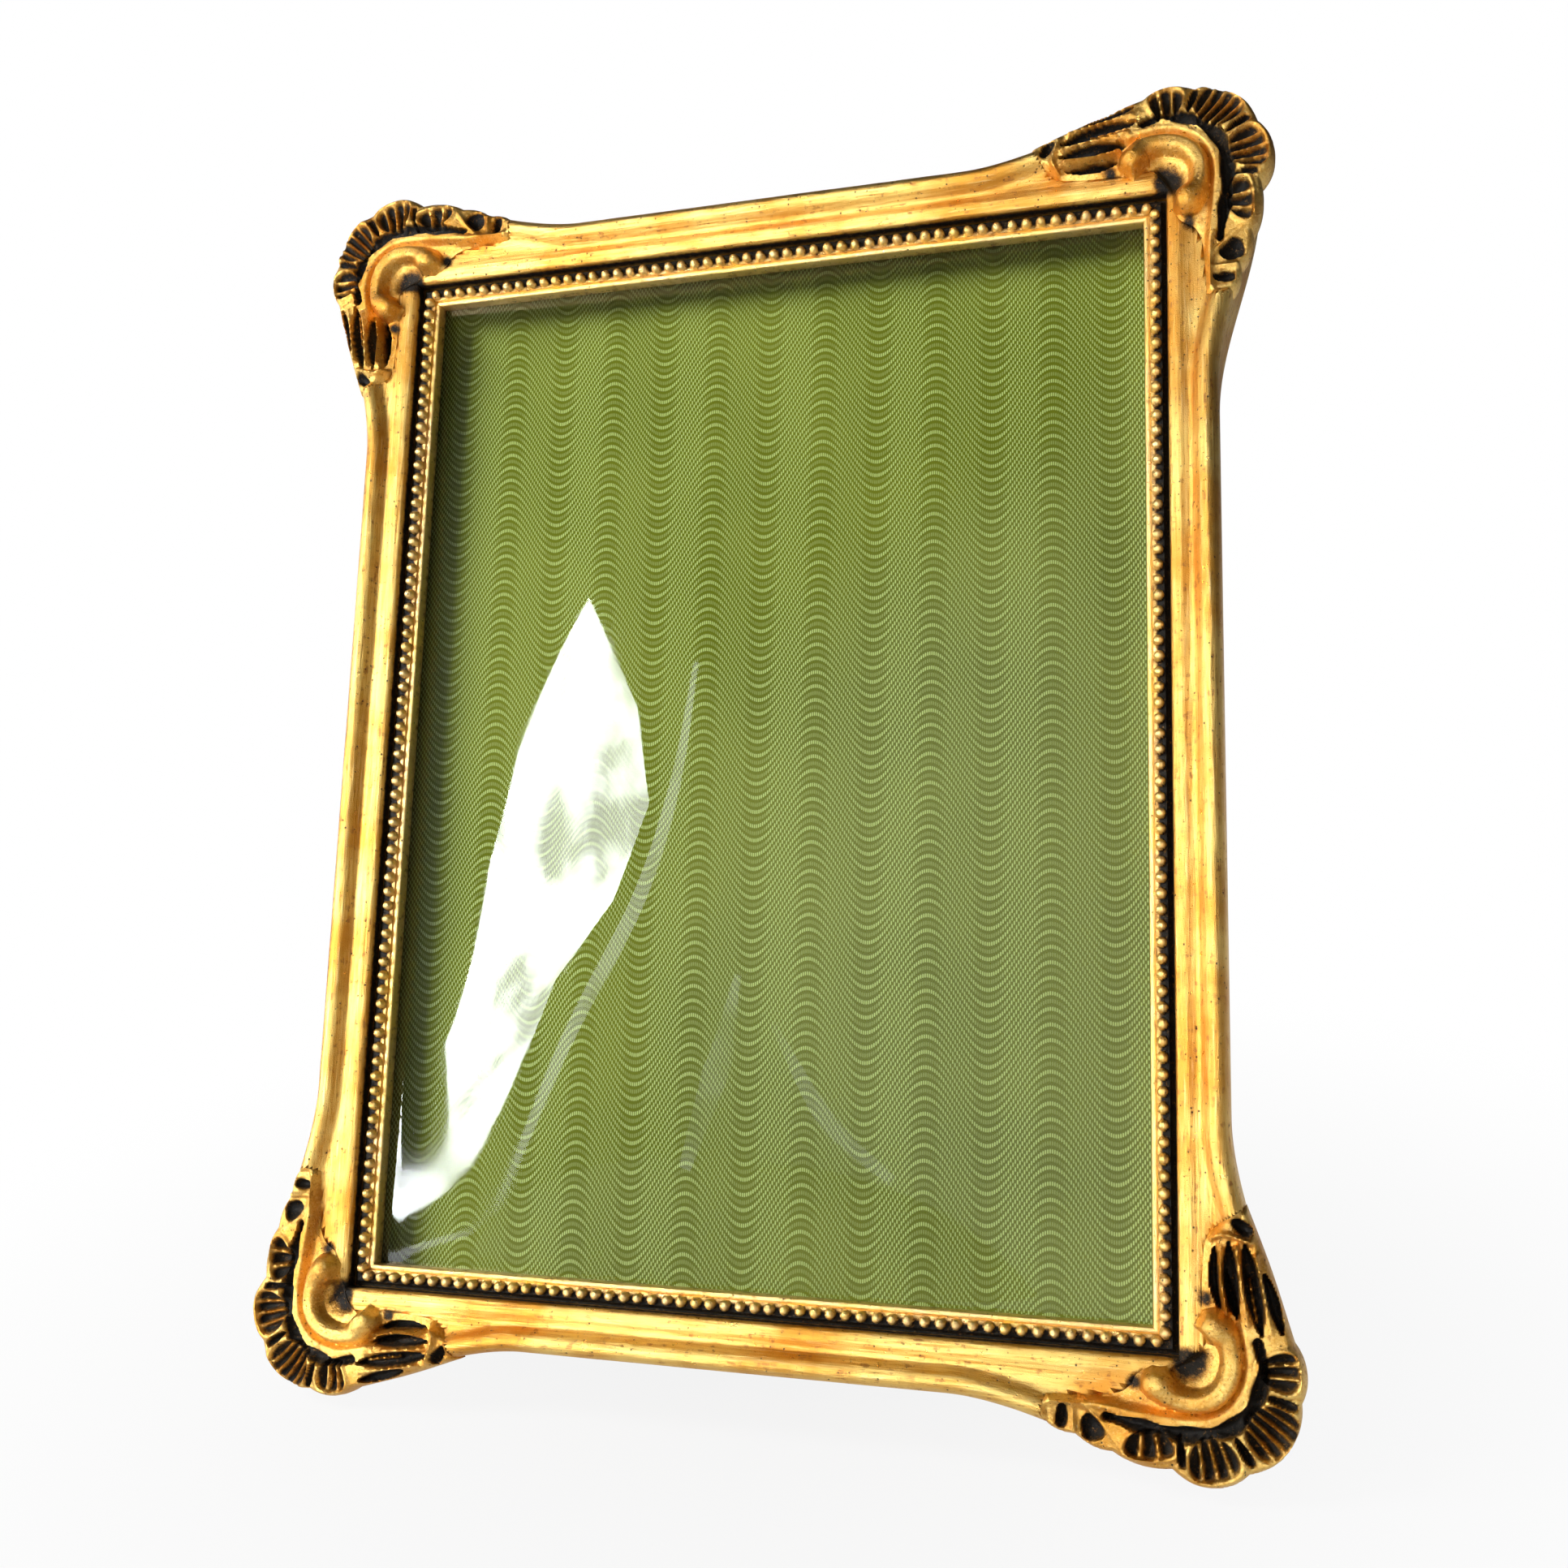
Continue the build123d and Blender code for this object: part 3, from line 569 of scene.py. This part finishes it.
def make_glass():
    """A domed pane with a flat rim and parallel faces."""
    columns, rows = 97, 129
    half_x, half_y = glass_high[:2]
    x, y = np.meshgrid(np.linspace(-half_x, half_x, columns), np.linspace(-half_y, half_y, rows))
    height = dome_height(x, y).ravel()
    front = np.column_stack((x.ravel(), y.ravel(), height))
    back = front - (0, 0, GLASS_THICKNESS)
    count = len(front)
    faces = grid_faces(rows, columns, False)
    faces += [tuple(count + i for i in reversed(face)) for face in faces]
    border = list(range(columns)) + [columns * row + columns - 1 for row in range(1, rows)]
    border += [count - 1 - i for i in range(1, columns)] + [columns * row for row in range(rows - 2, 0, -1)]
    for here, following in zip(border, border[1:] + border[:1]):
        faces.append((following, here, count + here, count + following))
    return make_piece("glass_pane", np.vstack((front, back)), faces, "glass", ["domed_glass"], sharp=60.0)


# ---- material nodes ----
def node(tree, kind, inputs=None, output=0, **settings):
    """A shader node with its inputs set or linked; returns one of its outputs."""
    made = tree.nodes.new("ShaderNode" + kind)
    for name, value in settings.items():
        setattr(made, name, value)
    for name, value in (inputs or {}).items():
        if isinstance(value, bpy.types.NodeSocket):
            tree.links.new(value, made.inputs[name])
        else:
            made.inputs[name].default_value = value
    return made.outputs[output]


def maths(tree, operation, a, b=0.0):
    return node(tree, "Math", {0: a, 1: b}, operation=operation)


def span(tree, value, low, high, to_low=0.0, to_high=1.0, smooth=True):
    """value between low and high, as a value between to_low and to_high."""
    inputs = {"Value": value, "From Min": low, "From Max": high, "To Min": to_low, "To Max": to_high}
    return node(tree, "MapRange", inputs, interpolation_type="SMOOTHSTEP" if smooth else "LINEAR")


def mix(tree, factor, a, b):
    """Colour a turning into colour b."""
    return node(tree, "Mix", {0: factor, 6: a, 7: b}, 2, data_type="RGBA")


def rgb(red, green, blue):
    return (red, green, blue, 1.0)


def darker(colour, share):
    """A colour with its parts scaled down."""
    return rgb(*(share * part for part in colour[:3]))


def grain(tree, place, scale, detail=4.0, stretch=(1, 1, 1), roughness=0.55):
    """Noise over a place in mm; scale is in spots per mm."""
    scaled = node(tree, "VectorMath", {0: place, 1: [scale * s for s in stretch]}, operation="MULTIPLY")
    return node(tree, "TexNoise", {"Vector": scaled, "Scale": 1.0, "Detail": detail, "Roughness": roughness})


def frame_place(tree):
    """The place in the frame's axes, in mm, moving with the piece."""
    place = node(tree, "TexCoord", output="Object")
    shifted = node(tree, "VectorMath", {0: place, 1: (centre @ axes * MM).tolist()}, operation="SUBTRACT")
    parts = [
        node(tree, "VectorMath", {0: shifted, 1: (axis / MM).tolist()}, "Value", operation="DOT_PRODUCT")
        for axis in axes
    ]
    return node(tree, "CombineXYZ", dict(enumerate(parts)))


def new_material(name):
    """An empty material with one Principled surface; returns it, its tree and the surface node."""
    material = bpy.data.materials.new(name)
    material.use_nodes = True
    tree = material.node_tree
    surface = tree.nodes["Principled BSDF"]
    return material, tree, surface


def set_surface(tree, surface, **inputs):
    """Sets or links the surface's inputs; underscores stand for spaces."""
    for name, value in inputs.items():
        socket = surface.inputs[name.replace("_", " ")]
        if isinstance(value, bpy.types.NodeSocket):
            tree.links.new(value, socket)
        else:
            socket.default_value = value


def bump(tree, height, distance, strength=1.0):
    return node(tree, "Bump", {"Height": height, "Distance": distance, "Strength": strength})


def gilding(name, bright, deep, wear, stretch):
    """Old gilding: tone and roughness vary, rubbed spots show the red ground, and the hollows, grooves and
    corners get painted shade in dark brown and near black, with random dark toning, dirt and pits besides.
    """
    material, tree, surface = new_material(name)
    place = frame_place(tree)
    run = node(tree, "Attribute", output="Vector", attribute_name="run")
    dark = node(tree, "Attribute", output="Fac", attribute_name="patina")
    tone = grain(tree, place, 0.06, 3)
    mottle = grain(tree, place, 0.55, 6)
    streaks = grain(tree, run if stretch else place, 1.6, 6, stretch or (1, 1, 1), 0.7)
    fine = grain(tree, place, 4.5, 3)
    colour = mix(tree, span(tree, tone, 0.35, 0.68), bright, deep)
    colour = mix(tree, span(tree, streaks, 0.48, 0.66, 0.0, 0.75), colour, deep)
    colour = mix(tree, span(tree, streaks, 0.46, 0.30, 0.0, 0.55), colour, rgb(0.98, 0.76, 0.34))
    rubbed = maths(tree, "MULTIPLY", span(tree, mottle, 0.54, 0.64), span(tree, streaks, 0.46, 0.58))
    colour = mix(tree, maths(tree, "MULTIPLY", rubbed, wear), colour, rgb(0.42, 0.16, 0.05))
    pits = node(tree, "TexVoronoi", {"Vector": place, "Scale": 0.75, "Randomness": 1.0})
    pit = maths(tree, "MULTIPLY", span(tree, pits, 0.20, 0.12), span(tree, mottle, 0.50, 0.60))
    # Painted shade: the dark mask from the mesh, roughened by noise, turns hollows, grooves and corners dark
    # brown and then near black; the noise and the pits alone add real dark toning and dirt.
    ragged = maths(tree, "ADD", dark, maths(tree, "MULTIPLY", maths(tree, "SUBTRACT", mottle, 0.5), 0.9))
    ragged = maths(tree, "ADD", ragged, maths(tree, "MULTIPLY", maths(tree, "SUBTRACT", fine, 0.5), 0.5))
    crumb_grain = grain(tree, place, 1.5, 5, (1, 1, 1), 0.7)
    crumbs = maths(tree, "MULTIPLY", span(tree, crumb_grain, 0.56, 0.66), span(tree, mottle, 0.42, 0.56))
    wax_and_shade = maths(tree, "MAXIMUM", span(tree, ragged, 0.48, 0.86), maths(tree, "MULTIPLY", pit, 0.85))
    wax_and_shade = maths(tree, "MULTIPLY", wax_and_shade, maths(tree, "SUBTRACT", 1.0, maths(tree, "MULTIPLY", crumbs, 0.75)))
    colour = mix(tree, span(tree, ragged, 0.12, 0.62, 0.0, 0.85), colour, rgb(0.20, 0.075, 0.012))
    colour = mix(tree, wax_and_shade, colour, rgb(0.008, 0.0055, 0.003))
    rough = span(tree, mottle, 0.3, 0.7, 0.26, 0.46, False)
    rough = maths(tree, "ADD", rough, maths(tree, "MULTIPLY", wax_and_shade, 0.22))
    relief = maths(tree, "ADD", maths(tree, "MULTIPLY", streaks, 0.5), maths(tree, "MULTIPLY", fine, 0.22))
    relief = maths(tree, "SUBTRACT", relief, maths(tree, "MULTIPLY", pit, 0.5))
    metal = span(tree, wax_and_shade, 0.0, 1.0, 1.0, 0.15, False)
    set_surface(
        tree, surface, Base_Color=colour, Metallic=metal, Roughness=rough,
        Specular_IOR_Level=span(tree, wax_and_shade, 0.0, 1.0, 0.5, 0.3, False), Normal=bump(tree, relief, 0.0007, 0.7),
    )
    return material


def back_wood(name):
    """The bare back and rebate of a rail: toned softwood."""
    material, tree, surface = new_material(name)
    run = node(tree, "Attribute", output="Vector", attribute_name="run")
    rings = grain(tree, run, 0.9, 6, (0.05, 1.0, 1.0))
    spots = grain(tree, run, 0.12, 4)
    colour = mix(tree, span(tree, rings, 0.35, 0.65), rgb(0.30, 0.17, 0.075), rgb(0.13, 0.065, 0.028))
    colour = mix(tree, span(tree, spots, 0.5, 0.75, 0, 0.7), colour, rgb(0.09, 0.05, 0.025))
    rough = span(tree, rings, 0.3, 0.7, 0.6, 0.8, False)
    set_surface(tree, surface, Base_Color=colour, Roughness=rough, Normal=bump(tree, rings, 0.0003, 0.5))
    return material


MIRROR_SHARE = 0.8  # how much of a clean pane's reflection the old glass keeps


def clear_glass():
    """Glass that shows what lies behind it and mirrors at a glance; only its outer faces mirror."""
    material, tree, surface = new_material("clear_glass")
    place = frame_place(tree)
    smear = grain(tree, place, 0.05, 4, (1.0, 0.5, 1.0))
    rough = span(tree, smear, 0.4, 0.7, 0.01, 0.05, False)
    gloss = node(tree, "BsdfGlossy", {"Color": rgb(1, 1, 1), "Roughness": rough})
    through = node(tree, "BsdfTransparent", {"Color": rgb(0.94, 0.965, 0.93)})
    mirror = maths(tree, "MULTIPLY", node(tree, "Fresnel", {"IOR": 1.45}), MIRROR_SHARE)
    outward = maths(tree, "SUBTRACT", 1.0, node(tree, "NewGeometry", output="Backfacing"))
    share = maths(tree, "MULTIPLY", mirror, outward)
    both = node(tree, "MixShader", {0: share, 1: through, 2: gloss})
    tree.links.new(both, tree.nodes["Material Output"].inputs["Surface"])
    tree.nodes.remove(surface)
    return material


WAVE_LENGTH = 26.7
WAVE_HEIGHT = 12.6
WAVE_CREST = 13.0
LINE_PITCH = 3.25
DOT_PITCH = 0.48


def row_lines(tree, rows, edge, full):
    """Soft lines where rows is whole; edge and full are distances from half way between two lines."""
    fold = maths(tree, "ABSOLUTE", maths(tree, "SUBTRACT", maths(tree, "FRACT", rows), 0.5))
    return span(tree, fold, edge, full)


def wave_paper():
    """Olive sheet printed with rows of waves; every row is broken into fine columns of pale dots."""
    material, tree, surface = new_material("wave_paper")
    place = frame_place(tree)
    parts = tree.nodes.new("ShaderNodeSeparateXYZ")
    tree.links.new(place, parts.inputs[0])
    x, y = parts.outputs[0], parts.outputs[1]
    column = maths(tree, "ROUND", maths(tree, "DIVIDE", x, DOT_PITCH))
    dots = row_lines(tree, maths(tree, "DIVIDE", x, DOT_PITCH), 0.08, 0.30)
    stepped = maths(tree, "MULTIPLY", column, DOT_PITCH)
    turn = maths(tree, "MULTIPLY", maths(tree, "SUBTRACT", stepped, WAVE_CREST), 2 * math.pi / WAVE_LENGTH)
    swing = maths(tree, "COSINE", turn)
    slope = maths(tree, "SINE", turn)
    level = maths(tree, "SUBTRACT", y, maths(tree, "MULTIPLY", swing, WAVE_HEIGHT / 2))
    rows = maths(tree, "DIVIDE", level, LINE_PITCH)
    steep = span(tree, maths(tree, "ABSOLUTE", slope), 0.45, 0.8)
    main = row_lines(tree, rows, 0.33, 0.42)
    between = row_lines(tree, maths(tree, "MULTIPLY", rows, 2.0), 0.12, 0.36)
    between_share = maths(tree, "ADD", 0.38, maths(tree, "MULTIPLY", steep, 0.5))
    drawn = maths(tree, "MAXIMUM", main, maths(tree, "MULTIPLY", between, between_share))
    brighter = span(tree, slope, 0.6, -0.6, 0.75, 1.0)
    print_share = maths(tree, "MULTIPLY", maths(tree, "MULTIPLY", drawn, dots), brighter)
    tone = grain(tree, place, 0.018, 2)
    ground = mix(tree, span(tree, tone, 0.35, 0.65), rgb(0.152, 0.172, 0.008), rgb(0.200, 0.218, 0.018))
    fibres = grain(tree, place, 3.0, 3)
    ground = mix(tree, span(tree, fibres, 0.3, 0.7, 0.0, 0.25), ground, rgb(0.12, 0.15, 0.010))
    colour = mix(tree, print_share, ground, rgb(0.62, 0.72, 0.27))
    set_surface(
        tree, surface, Base_Color=colour, Roughness=span(tree, print_share, 0, 0.6, 0.75, 0.5, False),
        Specular_IOR_Level=0.12, Normal=bump(tree, fibres, 0.00006, 0.4),
    )
    return material


def board_stuff(name, light, shade, scale, bump_depth, rough=0.82):
    """Card, pad or hardboard: pressed fibres with darker flecks and stains."""
    material, tree, surface = new_material(name)
    place = frame_place(tree)
    fibres = grain(tree, place, scale, 6, (1.0, 0.35, 1.0))
    flecks = grain(tree, place, scale * 2.4, 3)
    stains = grain(tree, place, 0.025, 4)
    colour = mix(tree, span(tree, fibres, 0.3, 0.7), light, shade)
    colour = mix(tree, span(tree, flecks, 0.62, 0.70, 0, 0.7), colour, darker(shade, 0.45))
    colour = mix(tree, span(tree, stains, 0.5, 0.72, 0, 0.45), colour, darker(shade, 0.6))
    spread = span(tree, fibres, 0.3, 0.7, rough - 0.1, rough, False)
    relief = bump(tree, fibres, bump_depth, 0.6)
    set_surface(tree, surface, Base_Color=colour, Roughness=spread, Normal=relief)
    return material


def plain_metal(name, bright, tarnish, rough, tarnish_share):
    """Stamped or drawn metal with fine scratches and tarnish."""
    material, tree, surface = new_material(name)
    place = frame_place(tree)
    scratches = grain(tree, place, 2.2, 5, (1.0, 0.12, 1.0))
    cloud = grain(tree, place, 0.28, 5)
    specks = grain(tree, place, 1.8, 4)
    colour = mix(tree, span(tree, cloud, 0.42, 0.66, 0, tarnish_share), bright, tarnish)
    colour = mix(tree, span(tree, specks, 0.60, 0.70, 0, 0.6), colour, darker(tarnish, 0.3))
    spread = span(tree, cloud, 0.3, 0.7, rough, rough + 0.22, False)
    spread = maths(tree, "ADD", spread, span(tree, scratches, 0.4, 0.7, 0, 0.1))
    relief = bump(tree, scratches, 0.00008, 0.5)
    set_surface(tree, surface, Base_Color=colour, Metallic=1.0, Roughness=spread, Normal=relief)
    return material


GOLD = rgb(0.96, 0.64, 0.18)
DEEP_GOLD = rgb(0.70, 0.32, 0.045)
PALE_GOLD = rgb(0.90, 0.62, 0.27)
rail_gold = gilding("rail_gold", GOLD, DEEP_GOLD, wear=0.75, stretch=(0.05, 1.0, 1.0))
ornament_gold = gilding("ornament_gold", GOLD, DEEP_GOLD, wear=0.5, stretch=None)
slip_gold = gilding("slip_gold", PALE_GOLD, GOLD, wear=0.55, stretch=(0.12, 1.0, 1.0))
rail_wood = back_wood("rail_wood")
glass_material = clear_glass()
paper = wave_paper()
card = board_stuff("grey_card", rgb(0.62, 0.58, 0.48), rgb(0.42, 0.38, 0.30), 1.4, 0.00015)
pad = board_stuff("pad_card", rgb(0.42, 0.30, 0.18), rgb(0.26, 0.17, 0.09), 0.9, 0.0003)
hardboard = board_stuff("hardboard", rgb(0.20, 0.105, 0.05), rgb(0.105, 0.05, 0.024), 1.1, 0.00025, 0.62)
strut_board = board_stuff("strut_board", rgb(0.17, 0.085, 0.042), rgb(0.08, 0.038, 0.019), 1.1, 0.00025, 0.6)
brass = plain_metal("brass", rgb(0.80, 0.56, 0.20), rgb(0.34, 0.20, 0.07), 0.24, 0.8)
plated_brass = plain_metal("plated_brass", rgb(0.86, 0.64, 0.26), rgb(0.42, 0.27, 0.10), 0.2, 0.6)
steel = plain_metal("steel", rgb(0.46, 0.46, 0.46), rgb(0.20, 0.12, 0.08), 0.34, 0.7)

node_materials = {
    "patterned_sheet": paper,
    "mount_card": card,
    "filler_pad": pad,
    "back_board": hardboard,
    "easel_strut": strut_board,
    "hinge_board_leaf": plated_brass,
    "hinge_strut_leaf": plated_brass,
    "hinge_pin": steel,
    "hinge_board_rivets": brass,
    "hinge_strut_rivets": brass,
    "hanger_strap": plated_brass,
    "hanging_ring": brass,
    "hanger_screw": brass,
    "turn_button_screws": brass,
    "v_nails": steel,
}


def finish_nodes():
    """The CAD nodes that stay take their materials."""
    for name, cad in frame["nodes"].items():
        material = plated_brass if name.startswith("turn_button_") else None
        material = node_materials.get(name, material)
        if material is None:
            continue
        cad.data.materials.clear()
        cad.data.materials.append(material)


# ---- lights, stage and camera ----
CAMERA_PLACE = (106.5, -62.0, 324.7)
CAMERA_LOOK = np.array((-0.287, 0.159, -0.944))
CAMERA_UP = np.array((0.018, 0.987, 0.161))
CAMERA_LENS = 35.38
SENSOR = 36.0
KEY_FROM = np.array((-8.5, 6.0, 4.6))  # the slip throws a shadow wider at the left than at the top


def looking(place, look, upward):
    """Matrix of an object that stands at a place, looks along one direction and has its top to another."""
    back = -look / np.linalg.norm(look)
    side = np.cross(upward, back)
    side /= np.linalg.norm(side)
    matrix = np.eye(4)
    matrix[:3, :3] = np.column_stack((side, np.cross(back, side), back))
    matrix[:3, 3] = place
    return Matrix(matrix.tolist())


def make_camera():
    """Camera close in front of the frame, to the right of its middle and below it."""
    data = bpy.data.cameras.new("camera")
    data.lens, data.sensor_width = CAMERA_LENS, SENSOR
    data.clip_start = 0.01
    camera = bpy.data.objects.new("camera", data)
    bpy.context.scene.collection.objects.link(camera)
    camera.matrix_world = looking(to_row([CAMERA_PLACE])[0], CAMERA_LOOK @ axes, CAMERA_UP @ axes)
    bpy.context.scene.camera = camera


def soft_light(name, direction, distance, size, power, colour=(1.0, 1.0, 1.0)):
    """A square lamp in a direction from the frame's middle, aimed at it; distance and size in mm."""
    data = bpy.data.lights.new(name, "AREA")
    data.shape, data.size = "SQUARE", size * MM
    data.energy, data.color = power, colour
    lamp = bpy.data.objects.new(name, data)
    bpy.context.scene.collection.objects.link(lamp)
    direction = np.array(direction, float) / np.linalg.norm(direction)
    place = to_row([direction * distance])[0]
    lamp.matrix_world = looking(place, -(direction @ axes), np.array((0.0, 0.3, 1.0)))
    lamp.visible_glossy = False


def mirrored_points(outline, distance):
    """Points of a flat card that the camera sees in the glass inside an outline drawn on the pane, in mm."""
    x, y = outline[:, 0], outline[:, 1]
    small = 0.01
    slope_x = (dome_height(x + small, y) - dome_height(x - small, y)) / (2 * small)
    slope_y = (dome_height(x, y + small) - dome_height(x, y - small)) / (2 * small)
    normal = np.column_stack((-slope_x, -slope_y, np.ones(len(x))))
    normal /= np.linalg.norm(normal, axis=1)[:, None]
    place = np.column_stack((x, y, dome_height(x, y)))
    ray = place - CAMERA_PLACE
    ray /= np.linalg.norm(ray, axis=1)[:, None]
    ray -= 2 * (ray * normal).sum(1)[:, None] * normal
    middle = ray.mean(0) / np.linalg.norm(ray.mean(0))
    centre_point = place.mean(0) + middle * distance
    reach = ((centre_point - place) @ middle) / (ray @ middle)
    return to_row(place + ray * reach[:, None])


def glowing_cloud(name, strength, cloudy):
    """Light whose strength drifts in soft clouds."""
    material = bpy.data.materials.new(name)
    material.use_nodes = True
    tree = material.node_tree
    tree.nodes.clear()
    place = node(tree, "TexCoord", output="Object")
    cloud = node(tree, "TexNoise", {"Vector": place, "Scale": cloudy, "Detail": 5.0})
    glowing = span(tree, cloud, 0.36, 0.54, 0.35 * strength, strength)
    light = node(tree, "Emission", {"Color": rgb(0.93, 0.97, 1.0), "Strength": glowing})
    output = tree.nodes.new("ShaderNodeOutputMaterial")
    tree.links.new(light, output.inputs["Surface"])
    return material


def mirrored_card(name, outline, distance, strength, cloudy):
    """A glowing card that only mirrors show."""
    outline = np.asarray(outline, float)
    points = mirrored_points(outline, distance)
    mesh = bpy.data.meshes.new(name)
    mesh.from_pydata(points.tolist(), [], fill_outline(outline, len(outline)))
    glow = bpy.data.objects.new(name, mesh)
    bpy.context.scene.collection.objects.link(glow)
    glow.visible_camera = glow.visible_diffuse = glow.visible_shadow = False
    mesh.materials.append(glowing_cloud(name, strength, cloudy))


def ribbon(line, widths, count=30):
    """Outline of a band of changing width along a line."""
    middle = smooth_line(line, count)
    ahead = np.gradient(middle, axis=0)
    ahead /= np.linalg.norm(ahead, axis=1)[:, None]
    left = np.column_stack((-ahead[:, 1], ahead[:, 0]))
    half = np.interp(np.linspace(0, 1, count), np.linspace(0, 1, len(widths)), widths)[:, None] / 2
    return np.vstack((middle + left * half, (middle - left * half)[::-1]))


FLOOR_HALF = 6.0  # metres


def make_stage():
    """A floor that the camera sees pale, fading into white, but that throws little light up at the frame."""
    half = FLOOR_HALF
    mesh = bpy.data.meshes.new("floor")
    square = [(-half, -half, 0), (half, -half, 0), (half, half, 0), (-half, half, 0)]
    mesh.from_pydata(square, [], [(0, 1, 2, 3)])
    floor = bpy.data.objects.new("floor", mesh)
    bpy.context.scene.collection.objects.link(floor)
    material, tree, surface = new_material("pale_floor")
    place = node(tree, "TexCoord", output="Object")
    speck = node(tree, "TexNoise", {"Vector": place, "Scale": 6.0, "Detail": 3.0})
    grey = mix(tree, speck, rgb(0.17, 0.17, 0.17), rgb(0.15, 0.15, 0.15))
    set_surface(tree, surface, Base_Color=grey, Roughness=0.9)
    away = node(tree, "VectorMath", {0: place}, "Value", operation="LENGTH")
    seen = node(tree, "LightPath", output="Is Camera Ray")
    glow = node(tree, "Emission", {"Color": rgb(1, 1, 1), "Strength": 1.0})
    share = maths(tree, "MULTIPLY", span(tree, away, 0.0, 0.30, 0.88, 1.0), seen)
    mirrored = maths(tree, "MULTIPLY", node(tree, "LightPath", output="Is Glossy Ray"), 0.55)
    share = maths(tree, "MAXIMUM", share, mirrored)
    both = node(tree, "MixShader", {0: share, 1: surface.outputs[0], 2: glow})
    tree.links.new(both, tree.nodes["Material Output"].inputs["Surface"])
    mesh.materials.append(material)


DIFFUSE_SHARE = 0.08  # of the level that gold and glass mirror, how much the surround gives to matt things


def facing(tree, way, toward):
    """How nearly a way points towards a direction: its cosine."""
    unit = tuple(Vector(toward).normalized())
    return node(tree, "VectorMath", {0: way, 1: unit}, "Value", operation="DOT_PRODUCT")


def make_world():
    """White to the camera; the gold mirrors it bright low at the left and in front, and dark elsewhere."""
    world = bpy.data.worlds.new("surround")
    world.use_nodes = True
    tree = world.node_tree
    way = node(tree, "TexCoord", output="Generated")
    low_left = span(tree, facing(tree, way, (-0.80, 0.15, -0.58)), -0.25, 0.85, 0.05, 1.35)
    shade = span(tree, facing(tree, way, (-0.72, -0.55, 0.42)), 0.70, 0.93, 1.0, 0.12)
    level = maths(tree, "MULTIPLY", low_left, shade)
    front = span(tree, facing(tree, way, (0.10, -0.97, 0.22)), 0.80, 0.98, 0.0, 1.35)
    level = maths(tree, "MAXIMUM", level, front)
    glossy = node(tree, "LightPath", output="Is Glossy Ray")
    level = maths(tree, "MULTIPLY", level, span(tree, glossy, 0.0, 1.0, DIFFUSE_SHARE, 1.0, False))
    seen = node(tree, "LightPath", output="Is Camera Ray")
    level = maths(tree, "MAXIMUM", level, seen)
    background = tree.nodes["Background"]
    tree.links.new(level, background.inputs["Strength"])
    background.inputs["Color"].default_value = rgb(1.0, 1.0, 1.0)
    bpy.context.scene.world = world


def paint_rail(piece):
    """Gilds a rail's face and outer side; its back, rebate and mitred ends stay bare wood."""
    piece.data.materials.append(rail_gold)
    piece.data.materials.append(rail_wood)
    columns = len(rail_line)
    wood_from = len(face_line) + len(outer_wall) - 1
    for face in piece.data.polygons:
        first = min(vertex % columns for vertex in face.vertices)
        if len(face.vertices) > 4 or first >= wood_from:
            face.material_index = 1


# ---- build ----
ornament_points, ornament_faces, ornament_dark = make_ornament()
for corner_name, turns in corners.items():
    half_length, distance = side_halves(turns)
    placed = quarter_turns(ornament_points + (half_length, distance, 0), turns)
    piece = make_piece(
        f"corner_casting_{corner_name}", placed, ornament_faces, "gilt_ornament", [f"ornament_{corner_name}"],
        sharp=60.0, patina=ornament_dark,
    )
    piece.data.materials.append(ornament_gold)

for side, turns in sides.items():
    paint_rail(make_rail(side, turns))
    strip = make_slip(side, turns)
    strip.data.materials.append(slip_gold)

pane = make_glass()
pane.data.materials.append(glass_material)
finish_nodes()

make_stage()
make_world()
make_camera()
soft_light("key", KEY_FROM, distance=2400, size=760, power=140.0, colour=(1.0, 0.97, 0.92))
soft_light("back_fill", (0.3, 0.9, -1.0), distance=1200, size=800, power=8.0)

window = [
    (-40, 37), (-49, 20), (-57, 0), (-63, -25), (-73, -67), (-74, -95), (-68, -98), (-60, -86), (-52, -70),
    (-44, -52), (-30, -34), (-22, -12), (-26, 10),
]
curtain_edge = ribbon([(-12, 20), (-16, -8), (-24, -34), (-41, -66), (-58, -104)], (1.2, 3.0, 3.8, 3.0, 1.4))
curtain_fold = ribbon([(0, -50), (-4, -68), (-12, -92)], (1.6, 6.0, 2.8))
curtain_hem = ribbon([(8, -60), (20, -80), (34, -92)], (1.4, 4.0, 2.4))
mirrored_card("window", window, distance=700, strength=40.0, cloudy=9.0)
mirrored_card("curtain_edge", curtain_edge, distance=650, strength=6.0, cloudy=6.0)
mirrored_card("curtain_fold", curtain_fold, distance=640, strength=3.6, cloudy=6.0)
mirrored_card("curtain_hem", curtain_hem, distance=640, strength=3.0, cloudy=6.0)

bpy.context.scene.view_settings.view_transform = "Standard"
